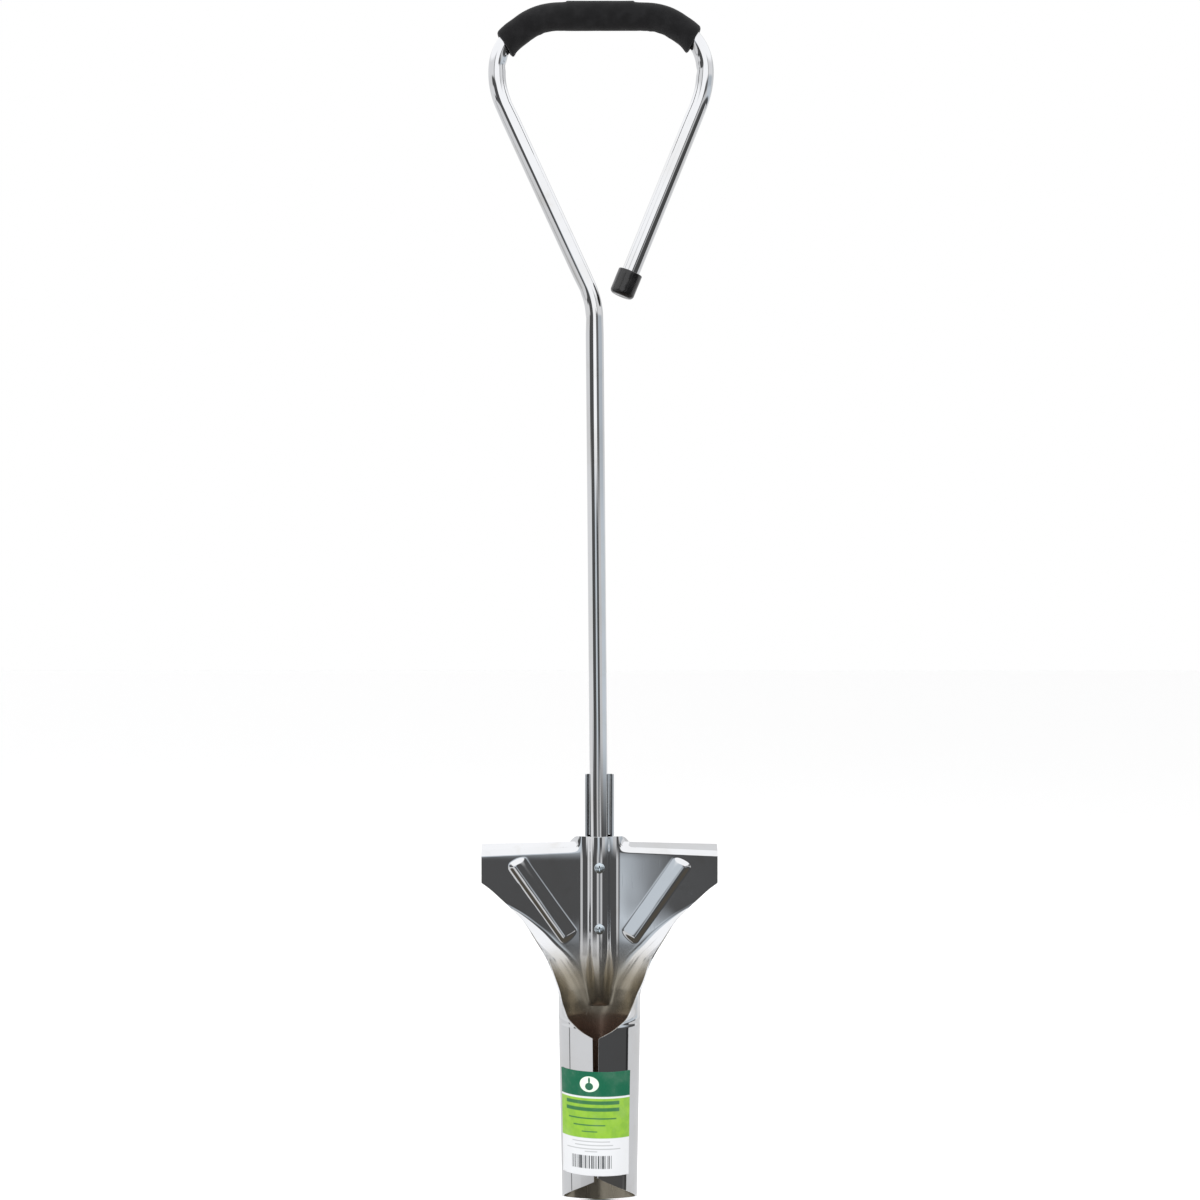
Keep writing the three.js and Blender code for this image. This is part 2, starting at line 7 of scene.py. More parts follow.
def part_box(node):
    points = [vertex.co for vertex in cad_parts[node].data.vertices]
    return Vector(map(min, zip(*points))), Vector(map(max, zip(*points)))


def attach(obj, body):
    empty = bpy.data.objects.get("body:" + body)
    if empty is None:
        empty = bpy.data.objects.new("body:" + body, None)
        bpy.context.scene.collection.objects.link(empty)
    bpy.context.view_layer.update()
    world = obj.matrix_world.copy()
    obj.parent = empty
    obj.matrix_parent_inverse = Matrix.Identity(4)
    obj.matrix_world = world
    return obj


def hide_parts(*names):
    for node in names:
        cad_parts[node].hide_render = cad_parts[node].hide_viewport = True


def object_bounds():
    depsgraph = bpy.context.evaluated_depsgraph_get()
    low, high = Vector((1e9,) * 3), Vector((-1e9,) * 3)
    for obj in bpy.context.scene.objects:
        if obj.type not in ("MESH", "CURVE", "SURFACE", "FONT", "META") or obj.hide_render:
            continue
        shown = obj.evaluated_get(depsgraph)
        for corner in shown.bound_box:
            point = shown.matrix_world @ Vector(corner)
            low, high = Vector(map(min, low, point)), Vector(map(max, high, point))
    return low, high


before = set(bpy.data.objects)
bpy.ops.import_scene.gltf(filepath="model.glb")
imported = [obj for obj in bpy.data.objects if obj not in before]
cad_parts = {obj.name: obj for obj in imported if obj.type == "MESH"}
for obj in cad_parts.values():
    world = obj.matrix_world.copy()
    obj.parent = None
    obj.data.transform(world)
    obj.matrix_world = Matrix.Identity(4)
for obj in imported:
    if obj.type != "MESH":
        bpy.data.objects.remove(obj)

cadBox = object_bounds()
mm = 0.001
toolHeight = cadBox[1].z - cadBox[0].z
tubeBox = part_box("handle_tube")
axisY = (tubeBox[0].y + tubeBox[1].y) / 2 / mm  # plane of the handle and of the flat blade, mm
scene = bpy.context.scene
scene.view_settings.view_transform = "Standard"


# camera
lensSet = {
    "distance": 2.0,       # from the handle's plane, m
    "margin": 1.0016,      # what the frame takes in, as a share of the tool's height
    "sensor": 36.0,
    "aside": 0.0004,
}

lens = bpy.data.cameras.new("lens")
lens.sensor_width = lensSet["sensor"]
lens.lens = lensSet["sensor"] * lensSet["distance"] / (toolHeight * lensSet["margin"])
lens.clip_end = 100
camera = bpy.data.objects.new("camera", lens)
scene.collection.objects.link(camera)
camera.location = (lensSet["aside"], axisY * mm - lensSet["distance"], toolHeight / 2)
camera.rotation_euler = (math.pi / 2, 0, 0)
scene.camera = camera
print("camera: placed")


# small helpers
def clamp01(value):
    return max(0.0, min(1.0, value))


def mix(a, b, share):
    return a + (b - a) * share


def smoothStep(value, low, high):
    t = clamp01((value - low) / (high - low))
    return t * t * (3 - 2 * t)


def spread(low, high, step):
    count = max(1, round(abs(high - low) / step))
    return [mix(low, high, i / count) for i in range(count + 1)]


def rotated(v, angle):
    cosine, sine = math.cos(angle), math.sin(angle)
    return Vector((v.x * cosine - v.y * sine, v.x * sine + v.y * cosine))


def curveThrough(points, x):
    # smooth curve through (x, y) points, level beyond both ends
    if x <= points[0][0]:
        return points[0][1]
    if x >= points[-1][0]:
        return points[-1][1]
    last = len(points) - 1
    i = max(k for k in range(last) if points[k][0] <= x)

    def slopeAt(k):
        before, after = points[max(k - 1, 0)], points[min(k + 1, last)]
        return (after[1] - before[1]) / (after[0] - before[0])

    (x0, y0), (x1, y1) = points[i], points[i + 1]
    width = x1 - x0
    t = (x - x0) / width
    rise = 3 * t ** 2 - 2 * t ** 3
    start = (t ** 3 - 2 * t ** 2 + t) * width * slopeAt(i)
    finish = (t ** 3 - t ** 2) * width * slopeAt(i + 1)
    return y0 + (y1 - y0) * rise + start + finish


def meshPiece(name, vertices, faces, uvs=None):
    # vertices in mm, in the tool's own axes; uvs give one (u, v) for each vertex
    mesh = bpy.data.meshes.new(name)
    mesh.from_pydata([Vector(v) * mm for v in vertices], [], faces)
    if uvs:
        layer = mesh.uv_layers.new(name="UVMap")
        for loop in mesh.loops:
            layer.data[loop.index].uv = uvs[loop.vertex_index]
    mesh.polygons.foreach_set("use_smooth", [True] * len(mesh.polygons))
    mesh.update()
    piece = bpy.data.objects.new(name, mesh)
    scene.collection.objects.link(piece)
    return piece


def place(piece, node, slotName, *materials):
    for material in materials:
        piece.data.materials.append(material)
    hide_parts(node)
    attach(piece, "root")
    return piece


def ringsPiece(name, rings, closed, uvs=None):
    # skins a row of rings; closed joins the last ring to the first, else both ends get a pole
    count = len(rings[0])
    vertices = [v for ring in rings for v in ring]
    faces = []
    pairs = len(rings) if closed else len(rings) - 1
    for r in range(pairs):
        a, b = r * count, (r + 1) % len(rings) * count
        for k in range(count):
            n = (k + 1) % count
            faces.append((a + k, a + n, b + n, b + k))
    if not closed:
        for ring, turned in ((0, True), (len(rings) - 1, False)):
            middle = sum((Vector(v) for v in rings[ring]), Vector()) / count
            vertices.append(tuple(middle))
            pole = len(vertices) - 1
            for k in range(count):
                a, b = ring * count + k, ring * count + (k + 1) % count
                faces.append((b, a, pole) if turned else (a, b, pole))
        if uvs:
            uvs = uvs + [uvs[0], uvs[-1]]
    return meshPiece(name, vertices, faces, uvs)


def gridFaces(wide, tall, gone=frozenset()):
    # four-sided faces over a grid of points, leaving out those that touch a point in gone
    faces = []
    for j in range(tall - 1):
        for i in range(wide - 1):
            corner = j * wide + i
            quad = (corner, corner + 1, corner + wide + 1, corner + wide)
            if not gone.intersection(quad):
                faces.append(quad)
    return faces


def softenEdges(piece, width, angle=50, segments=3):
    bevel = piece.modifiers.new("soft edges", "BEVEL")
    bevel.width = width * mm
    bevel.segments = segments
    bevel.limit_method = "ANGLE"
    bevel.angle_limit = math.radians(angle)
    bevel.harden_normals = True
    return bevel


# shared shader groups
def newGroup(name, inputs, outputs):
    group = bpy.data.node_groups.new(name, "ShaderNodeTree")
    for label, kind, value in inputs:
        socket = group.interface.new_socket(name=label, in_out="INPUT", socket_type=kind)
        socket.default_value = value
    for label, kind in outputs:
        group.interface.new_socket(name=label, in_out="OUTPUT", socket_type=kind)
    return group, group.nodes.new("NodeGroupInput"), group.nodes.new("NodeGroupOutput")


def link(tree, source, target):
    tree.links.new(source, target)


def mathNode(tree, operation, *values):
    node = tree.nodes.new("ShaderNodeMath")
    node.operation = operation
    for socket, value in zip(node.inputs, values):
        if isinstance(value, (int, float)):
            socket.default_value = value
        else:
            link(tree, value, socket)
    return node.outputs[0]


def noiseNode(tree, vector, scale, detail=3.0, roughness=0.55):
    node = tree.nodes.new("ShaderNodeTexNoise")
    node.inputs["Detail"].default_value = detail
    node.inputs["Roughness"].default_value = roughness
    link(tree, vector, node.inputs["Vector"])
    if isinstance(scale, (int, float)):
        node.inputs["Scale"].default_value = scale
    else:
        link(tree, scale, node.inputs["Scale"])
    return node.outputs["Fac"]


def rangeNode(tree, value, low, high, toLow=0.0, toHigh=1.0):
    node = tree.nodes.new("ShaderNodeMapRange")
    node.interpolation_type = "SMOOTHSTEP"
    link(tree, value, node.inputs["Value"])
    for label, number in (("From Min", low), ("From Max", high), ("To Min", toLow), ("To Max", toHigh)):
        if isinstance(number, (int, float)):
            node.inputs[label].default_value = number
        else:
            link(tree, number, node.inputs[label])
    return node.outputs["Result"]


def mixColour(tree, share, first, second):
    node = tree.nodes.new("ShaderNodeMix")
    node.data_type = "RGBA"
    for socket, value in ((node.inputs[0], share), (node.inputs[6], first), (node.inputs[7], second)):
        if isinstance(value, (int, float, tuple)):
            socket.default_value = value
        else:
            link(tree, value, socket)
    return node.outputs[2]


def positionIn(tree):
    return tree.nodes.new("ShaderNodeTexCoord").outputs["Object"]


def makeSmudges():
    # cloudy film left by hands and packing, with a few denser dabs
    group, given, result = newGroup(
        "handlingSmudges",
        [("Scale", "NodeSocketFloat", 20.0), ("Cover", "NodeSocketFloat", 0.5)],
        [("Mask", "NodeSocketFloat")],
    )
    where = positionIn(group)
    film = noiseNode(group, where, given.outputs["Scale"], 4.0, 0.6)
    dabs = noiseNode(group, where, mathNode(group, "MULTIPLY", given.outputs["Scale"], 3.7), 2.0, 0.5)
    denser = rangeNode(group, dabs, 0.6, 0.78, 0, 0.6)
    mask = mathNode(group, "ADD", rangeNode(group, film, 0.42, 0.78), denser)
    link(group, mathNode(group, "MULTIPLY", mask, given.outputs["Cover"]), result.inputs["Mask"])
    return group


def makeScratches():
    # hairline scuffs, drawn out along the tool's length
    group, given, result = newGroup(
        "hairlineScuffs",
        [("Scale", "NodeSocketFloat", 900.0), ("Stretch", "NodeSocketFloat", 0.02),
         ("Amount", "NodeSocketFloat", 0.5)],
        [("Mask", "NodeSocketFloat"), ("Height", "NodeSocketFloat")],
    )
    combine = group.nodes.new("ShaderNodeCombineXYZ")
    combine.inputs[0].default_value = 1.0
    combine.inputs[1].default_value = 1.0
    link(group, given.outputs["Stretch"], combine.inputs[2])
    drawn = group.nodes.new("ShaderNodeVectorMath")
    drawn.operation = "MULTIPLY"
    link(group, positionIn(group), drawn.inputs[0])
    link(group, combine.outputs[0], drawn.inputs[1])
    lines = noiseNode(group, drawn.outputs[0], given.outputs["Scale"], 2.0, 0.7)
    patches = noiseNode(group, positionIn(group), 45.0, 2.0, 0.5)
    where = rangeNode(group, patches, 0.45, 0.7)
    fine = mathNode(group, "MULTIPLY", rangeNode(group, lines, 0.6, 0.72), where)
    mask = mathNode(group, "MULTIPLY", fine, given.outputs["Amount"])
    link(group, mask, result.inputs["Mask"])
    link(group, mathNode(group, "MULTIPLY", mask, -1.0), result.inputs["Height"])
    return group


def makeGrain():
    # moulded or foamed skin: fine cells over a soft unevenness
    group, given, result = newGroup(
        "skinGrain",
        [("Cells", "NodeSocketFloat", 2600.0), ("Lumps", "NodeSocketFloat", 160.0),
         ("Lump Share", "NodeSocketFloat", 0.4)],
        [("Height", "NodeSocketFloat"), ("Mask", "NodeSocketFloat")],
    )
    where = positionIn(group)
    cells = group.nodes.new("ShaderNodeTexVoronoi")
    cells.feature = "SMOOTH_F1"
    link(group, where, cells.inputs["Vector"])
    link(group, given.outputs["Cells"], cells.inputs["Scale"])
    lumps = noiseNode(group, where, given.outputs["Lumps"], 3.0, 0.5)
    shared = mathNode(group, "MULTIPLY", lumps, given.outputs["Lump Share"])
    link(group, mathNode(group, "ADD", cells.outputs["Distance"], shared), result.inputs["Height"])
    link(group, rangeNode(group, lumps, 0.35, 0.7), result.inputs["Mask"])
    return group


smudges, scuffs, grain = makeSmudges(), makeScratches(), makeGrain()


def groupNode(tree, group, **values):
    node = tree.nodes.new("ShaderNodeGroup")
    node.node_tree = group
    for label, value in values.items():
        node.inputs[label.replace("_", " ")].default_value = value
    return node


def newMaterial(name, **values):
    material = bpy.data.materials.new(name)
    material.use_nodes = True
    shader = material.node_tree.nodes["Principled BSDF"]
    for label, value in values.items():
        shader.inputs[label.replace("_", " ")].default_value = value
    return material, material.node_tree, shader


def bumpInto(tree, shader, height, distance, strength=1.0):
    bump = tree.nodes.new("ShaderNodeBump")
    bump.inputs["Strength"].default_value = strength
    bump.inputs["Distance"].default_value = distance * mm
    link(tree, height, bump.inputs["Height"])
    link(tree, bump.outputs["Normal"], shader.inputs["Normal"])


# metal finishes
chromeSet = {
    "clean": (0.80, 0.81, 0.825, 1), "filmed": (0.70, 0.69, 0.665, 1),
    "gloss": 0.025, "dulling": 0.07, "scuffDulling": 0.16,
    "filmScale": 18.0, "filmCover": 0.55, "scuffScale": 1100.0, "scuffStretch": 0.015, "scuffDepth": 0.004,
}

# painted reflection on the blade's front: a tan tone that stands in for the warm surround the funnel mirrors,
# over a real haze; it starts and is full at these heights, mm
hazeAndPaintedReflectionSet = {
    "from": 216.0, "full": 182.0, "cloud": 10.0, "cloudScale": 42.0,
    # tan: painted reflection, a warm tone standing in for what the funnel mirrors; rust: the sheet's own
    # colour
    "tan": (0.36, 0.325, 0.26, 1), "rust": (0.42, 0.16, 0.11, 1),
    "rustFrom": 160.0, "rustFull": 144.0, "rustGone": (110.0, 85.0), "rustShare": 0.35,
    "roughness": 0.22, "dull": 0.12, "scuffed": 0.3,
}


def chromeWear(tree, shader, scuffed):
    # film mask, filmed colour and the dulling by scuffs; the scuffs also go into the shader's normal
    film = groupNode(tree, smudges, Scale=chromeSet["filmScale"], Cover=chromeSet["filmCover"])
    scuff = groupNode(tree, scuffs, Scale=chromeSet["scuffScale"], Stretch=chromeSet["scuffStretch"],
                      Amount=scuffed)
    colour = mixColour(tree, film.outputs["Mask"], chromeSet["clean"], chromeSet["filmed"])
    scored = mathNode(tree, "MULTIPLY", scuff.outputs["Mask"], chromeSet["scuffDulling"])
    bumpInto(tree, shader, scuff.outputs["Height"], chromeSet["scuffDepth"])
    return film.outputs["Mask"], colour, scored


def makeChrome(name, extraRoughness=0.0, scuffed=0.5):
    material, tree, shader = newMaterial(name, Metallic=1.0)
    film, colour, scored = chromeWear(tree, shader, scuffed)
    link(tree, colour, shader.inputs["Base Color"])
    dulled = mathNode(tree, "MULTIPLY", film, chromeSet["dulling"])
    start = mathNode(tree, "ADD", dulled, chromeSet["gloss"] + extraRoughness)
    link(tree, mathNode(tree, "ADD", start, scored), shader.inputs["Roughness"])
    return material


def makeHazedChromeWithPaintedReflection():
    # the blade's front: chrome that turns hazy where the sheet was drawn deepest, and takes a tan tone there
    # that is a painted reflection of the warm surround the hollow funnel mirrors
    material, tree, shader = newMaterial("hazedChromeWithPaintedReflection")
    _, bright, scored = chromeWear(tree, shader, hazeAndPaintedReflectionSet["scuffed"])
    split = tree.nodes.new("ShaderNodeSeparateXYZ")
    where = positionIn(tree)
    link(tree, where, split.inputs[0])
    cloud = mathNode(tree, "MULTIPLY", noiseNode(tree, where, hazeAndPaintedReflectionSet["cloudScale"], 2.0, 0.5),
                     hazeAndPaintedReflectionSet["cloud"] * mm)
    height = mathNode(tree, "ADD", split.outputs[2], cloud)
    hazeAndReflectionShare = rangeNode(tree, height, hazeAndPaintedReflectionSet["from"] * mm, hazeAndPaintedReflectionSet["full"] * mm)
    rustFrom, rustFull = hazeAndPaintedReflectionSet["rustFrom"] * mm, hazeAndPaintedReflectionSet["rustFull"] * mm
    rusted = rangeNode(tree, height, rustFrom, rustFull, 0, hazeAndPaintedReflectionSet["rustShare"])
    above, below = (edge * mm for edge in hazeAndPaintedReflectionSet["rustGone"])
    rusted = mathNode(tree, "MULTIPLY", rusted, rangeNode(tree, height, below, above))
    # painted reflection: the tan tone stands in for the warm surround mirrored in the funnel; the rust is the
    # sheet's own
    drawn = mixColour(tree, rusted, hazeAndPaintedReflectionSet["tan"], hazeAndPaintedReflectionSet["rust"])
    link(tree, mixColour(tree, hazeAndReflectionShare, bright, drawn), shader.inputs["Base Color"])
    link(tree, mathNode(tree, "SUBTRACT", 1.0, mathNode(tree, "MULTIPLY", hazeAndReflectionShare, hazeAndPaintedReflectionSet["dull"])),
         shader.inputs["Metallic"])
    start = mathNode(tree, "ADD", mathNode(tree, "MULTIPLY", hazeAndReflectionShare, hazeAndPaintedReflectionSet["roughness"]), chromeSet["gloss"])
    link(tree, mathNode(tree, "ADD", start, scored), shader.inputs["Roughness"])
    return material


def makeZinc():
    material, tree, shader = newMaterial("zincPlate", Metallic=1.0)
    film = groupNode(tree, smudges, Scale=240.0, Cover=0.7)
    colour = mixColour(tree, film.outputs["Mask"], (0.62, 0.70, 0.76, 1), (0.50, 0.52, 0.50, 1))
    link(tree, colour, shader.inputs["Base Color"])
    link(tree, rangeNode(tree, film.outputs["Mask"], 0, 1, 0.2, 0.42), shader.inputs["Roughness"])
    cells = groupNode(tree, grain, Cells=5200.0, Lumps=900.0, Lump_Share=0.6)
    bumpInto(tree, shader, cells.outputs["Height"], 0.02)
    return material


chrome = makeChrome("chromePlate")
chromeEdge = makeChrome("shearedEdge", 0.16, 0.9)
chromeFrontWithPaintedReflection = makeHazedChromeWithPaintedReflection()
zinc = makeZinc()
print("finishes: metals made")


# handle tube
handle = {
    # corners of the centreline (x, z) and the bend radius at each inner one, mm
    "corners": [(0.46, 203), (-4.1, 723.8), (-84.06, 897.3), (-81.12, 930.9), (-48.7, 954.5),
                (51.2, 954.5), (85.2, 931.5), (85.2, 895.1), (18.3, 731.0)],
    "bends": [64, 65, 36, 45, 45, 40.3, 76],
    "radius": 7.2, "wall": 1.2,
    "sides": 72,
    "flattening": 0.30,       # how far a bend ovals the tube, against tube radius over bend radius
    "pinch": 0.42,            # depth of the crease inside the start and end of a bend
    "pinchLength": 3.2,
    "pinchSharpness": 3,      # power that keeps the crease to the inside of the bend
    "swellLength": 2.2,       # the bulge round a crease, against its length and its depth
    "swellShare": 0.45,
    "waviness": 0.02, "waveLength": 60.0,
    "edgeRound": 0.25,
}


def bentLine(corners, bends, arcStep=1.6, straightStep=12.0):
    # stations along the line: distance, place, direction, bend (signed curvature) and bend edges
    points = [Vector(p) for p in corners]
    stations, edges = [], []
    travelled = 0.0
    start = points[0]

    def add(place2d, direction, bend):
        stations.append((travelled, place2d.copy(), direction.copy(), bend))

    for k, radius in enumerate([*bends, None]):
        corner = points[k + 1]
        arriving = (corner - points[k]).normalized()
        if radius is None:
            end = corner
        else:
            leaving = (points[k + 2] - corner).normalized()
            turn = math.atan2(arriving.x * leaving.y - arriving.y * leaving.x, arriving.dot(leaving))
            tangent = radius * math.tan(abs(turn) / 2)
            end = corner - arriving * tangent
        length = (end - start).length
        for share in spread(0, 1, straightStep / max(length, straightStep))[:-1]:
            add(start + (end - start) * share, arriving, 0.0)
            travelled += length / max(1, round(max(length, straightStep) / straightStep))
        if radius is None:
            add(end, arriving, 0.0)
            break
        side = Vector((-arriving.y, arriving.x)) * math.copysign(radius, turn)
        centre = end + side
        edges.append((travelled, math.copysign(1, turn)))
        count = math.ceil(math.degrees(abs(turn)) / arcStep)
        for i in range(count):
            angle = turn * i / count
            add(centre + rotated(-side, angle), rotated(arriving, angle), 1 / math.copysign(radius, turn))
            travelled += abs(turn) * radius / count
        edges.append((travelled, math.copysign(1, turn)))
        start = corner + leaving * tangent
    return stations, edges


def smoothBend(stations, at, reach=9.0):
    # curvature at a distance, eased over a short reach at both ends of each bend
    total = weight = 0.0
    for distance, _, _, bend in stations:
        w = max(0.0, 1 - abs(distance - at) / reach)
        total += w * bend
        weight += w
    return total / weight if weight else 0.0


handleLine, bendEdges = bentLine(handle["corners"], handle["bends"])
handleLength = handleLine[-1][0]


def ringAt(station, sides, radiusOf, easedBend=0.0, slant=0.0):
    # ring round the line: angle 0 looks to the left of its direction, a quarter turn towards the
    # back; slant moves the left side along the line by that share of its distance
    _, spot, direction, _ = station
    left = Vector((-direction.y, direction.x))
    ovalled = handle["flattening"] * handle["radius"] * abs(easedBend)
    ring = []
    for k in range(sides):
        angle = 2 * math.pi * k / sides
        radius = radiusOf(angle)
        inPlane = radius * math.cos(angle) * (1 - ovalled)
        across = radius * math.sin(angle) * (1 + ovalled * 0.6)
        point = spot + left * inPlane + direction * (inPlane * slant)
        ring.append((point.x, axisY + across, point.y))
    return ring


def tubeSkin(station, inner):
    distance = station[0]

    def radiusOf(angle):
        radius = handle["radius"] - (handle["wall"] if inner else 0)
        for edge, turned in bendEdges:
            inside = max(0.0, math.cos(angle) * turned) ** handle["pinchSharpness"]
            fall = math.exp(-((distance - edge) / handle["pinchLength"]) ** 2)
            swell = math.exp(-((distance - edge) / handle["pinchLength"] / handle["swellLength"]) ** 2)
            radius -= handle["pinch"] * inside * (fall - handle["swellShare"] * swell)
        wave = noise.noise(Vector((distance / handle["waveLength"], math.cos(angle), math.sin(angle))))
        return radius + handle["waviness"] * wave

    return radiusOf


def makeHandle():
    eased = [smoothBend(handleLine, station[0]) for station in handleLine]
    outer = [ringAt(s, handle["sides"], tubeSkin(s, False), b) for s, b in zip(handleLine, eased)]
    inner = [ringAt(s, handle["sides"], tubeSkin(s, True), b) for s, b in zip(handleLine, eased)]
    tube = ringsPiece("handleTube", outer + inner[::-1], True)
    softenEdges(tube, handle["edgeRound"], 60)
    return place(tube, "handle_tube", "chrome_plate", chrome)


makeHandle()
print("handle: tube bent")


# foam grip
grip = {
    "radius": 12.0, "bore": 7.32,
    "length": 167.2, "fromFreeEnd": 218.5,
    "slant": 4.8,            # how far the ends lean, because the foam doesn't stretch, mm
    "slantFade": 26.0,
    "thinning": 1.6,         # the outside of each bend is stretched thin, mm
    "thinningReach": 16.0,
    "endRound": 2.2,
    "sides": 96, "step": 1.4,
    "lumps": 0.16,           # soft unevenness, mm
    "bagging": 0.5,          # foam gathers a little inside the bends, mm
    "lumpLength": 26, "fineLength": 7, "bagLength": 5, "fineShare": 0.3, "lumpMiddle": 0.4,
    "bagGain": 40, "thinGain": 45,
}


def stationAt(distance):
    for first, second in zip(handleLine, handleLine[1:]):
        if first[0] <= distance <= second[0]:
            share = (distance - first[0]) / (second[0] - first[0])
            if first[3]:
                # on an arc: turn the first station's place about the bend's centre
                angle = (distance - first[0]) * first[3]
                left = Vector((-first[2].y, first[2].x))
                centre = first[1] + left / first[3]
                spot = centre + rotated(first[1] - centre, angle)
                return (distance, spot, rotated(first[2], angle), first[3])
            return (distance, first[1].lerp(second[1], share), first[2], 0.0)
    return handleLine[-1]


def makeGrip():
    end = handleLength - grip["fromFreeEnd"]
    start = end - grip["length"]
    soft = grip["endRound"]
    corner = [math.pi / 2 * i / 6 for i in range(7)]
    rounded = [(soft * (1 - math.sin(a)), grip["radius"] - soft * (1 - math.cos(a))) for a in corner]
    profile = [(0.0, grip["bore"])] + rounded[::-1]
    profile += [(d, grip["radius"]) for d in spread(soft, grip["length"] - soft, grip["step"])[1:-1]]
    profile += [(grip["length"] - d, radius) for d, radius in rounded]
    profile += [(d, grip["bore"]) for d in spread(grip["length"], 0.0, grip["step"] * 3)[:-1]]
    reach = grip["thinningReach"]
    rings = []
    for distance, radius in profile:
        at = start + distance
        station = stationAt(at)
        bend = smoothBend(handleLine, at)

        def radiusOf(angle, radius=radius, at=at, bend=bend):
            if radius <= grip["bore"]:
                return radius
            towards = math.cos(angle) * math.copysign(1, bend) if bend else 0.0
            inside, outside = max(0.0, towards) ** 2, max(0.0, -towards) ** 2
            cosine, sine = math.cos(angle), math.sin(angle)
            lump = noise.noise(Vector((at / grip["lumpLength"], cosine * 0.9, sine * 0.9)))
            fine = noise.noise(Vector((at / grip["fineLength"], cosine * 3, sine * 3)))
            bag = noise.noise(Vector((at / grip["bagLength"], 3.1, angle)))
            gathered = grip["bagging"] * inside * abs(bend) * grip["bagGain"] * bag
            stretch = min(1.0, abs(smoothBend(handleLine, at, reach)) * grip["thinGain"])
            lumpy = grip["lumps"] * (lump - grip["lumpMiddle"])
            return (radius + lumpy + grip["lumps"] * grip["fineShare"] * fine + gathered
                    - grip["thinning"] * outside * stretch)

        fade = grip["slantFade"]
        ends = max(0.0, 1 - (grip["length"] - distance) / fade) - max(0.0, 1 - distance / fade)
        slant = -ends * grip["slant"] / grip["radius"]
        rings.append(ringAt(station, grip["sides"], radiusOf, 0.0, slant))
    return ringsPiece("foamGrip", rings, True)


def makeFoam():
    material, tree, shader = newMaterial("foamSkin", Sheen_Weight=0.06, Sheen_Roughness=0.5,
                                         Specular_IOR_Level=0.22)
    cells = groupNode(tree, grain, Cells=2300.0, Lumps=120.0, Lump_Share=0.25)
    worn = groupNode(tree, smudges, Scale=30.0, Cover=0.8)
    colour = mixColour(tree, cells.outputs["Mask"], (0.0065, 0.0065, 0.0072, 1), (0.010, 0.010, 0.011, 1))
    dusty = mathNode(tree, "MULTIPLY", worn.outputs["Mask"], 0.08)
    link(tree, mixColour(tree, dusty, colour, (0.03, 0.03, 0.031, 1)), shader.inputs["Base Color"])
    link(tree, rangeNode(tree, worn.outputs["Mask"], 0, 1, 0.82, 0.68), shader.inputs["Roughness"])
    bumpInto(tree, shader, cells.outputs["Height"], 0.07, 0.7)
    return material


foamGrip = place(makeGrip(), "foam_grip", "foam", makeFoam())
print("handle: foam grip pushed on")


# vinyl cap on the free end
cap = {
    "radius": 10.0, "bore": 7.28, "length": 21.0, "floor": 2.5, "gap": 0.3,
    "bottomRound": 3.4, "rimRound": 0.8,
    "sides": 96,
    "dip": 0.35,             # hollow in the middle of its end
    "unevenness": 0.07, "lumpScale": 1.4, "lumpLength": 6, "ringStep": 0.8, "sideStep": 1.2, "core": 0.4,
}


def makeCap():
    tip, direction = handleLine[-1][1], handleLine[-1][2]
    up = Vector((-direction.x, 0, -direction.y))
    side = Vector((-up.z, 0, up.x))
    low = -cap["floor"] - cap["gap"]
    high = low + cap["length"]
    quarter = [math.pi / 2 * i / 8 for i in range(9)]
    inset = cap["radius"] - cap["bottomRound"]
    bottom, rim = cap["bottomRound"], cap["rimRound"]
    profile = [(r, low + cap["dip"] * (1 - (r / inset) ** 2))
               for r in spread(cap["core"], inset, cap["ringStep"])]
    profile += [(inset + bottom * math.sin(a), low + bottom * (1 - math.cos(a))) for a in quarter[1:]]
    profile += [(cap["radius"], z) for z in spread(low + bottom, high - rim, cap["sideStep"])[1:]]
    profile += [(cap["radius"] - rim * (1 - math.cos(a)), high - rim * (1 - math.sin(a)))
                for a in quarter[1:]]
    profile += [(cap["bore"], high - 0.3), (cap["bore"], low + cap["floor"] + 0.1),
                (cap["core"], low + cap["floor"])]
    rings = []
    for radius, along in profile:
        ring = []
        for k in range(cap["sides"]):
            angle = 2 * math.pi * k / cap["sides"]
            around = Vector((0, math.sin(angle), 0)) + side * math.cos(angle)
            wave = noise.noise(around * cap["lumpScale"] + Vector((0, 0, along / cap["lumpLength"])))
            uneven = cap["unevenness"] * wave if radius > cap["bore"] else 0
            spot = Vector((tip.x, axisY, tip.y)) + up * along + around * (radius + uneven)
            ring.append(tuple(spot))
        rings.append(ring)
    return ringsPiece("vinylCap", rings, False)


def makeVinyl():
    material, tree, shader = newMaterial("dippedVinyl", Coat_Weight=0.35, Coat_Roughness=0.08)
    skin = groupNode(tree, grain, Cells=420.0, Lumps=90.0, Lump_Share=1.4)
    film = groupNode(tree, smudges, Scale=70.0, Cover=0.8)
    colour = mixColour(tree, film.outputs["Mask"], (0.0045, 0.0045, 0.005, 1), (0.011, 0.011, 0.012, 1))
    link(tree, colour, shader.inputs["Base Color"])
    link(tree, rangeNode(tree, film.outputs["Mask"], 0, 1, 0.16, 0.34), shader.inputs["Roughness"])
    bumpInto(tree, shader, skin.outputs["Height"], 0.05)
    return material


place(makeCap(), "tube_end_cap", "vinyl", makeVinyl())
print("handle: cap fitted")


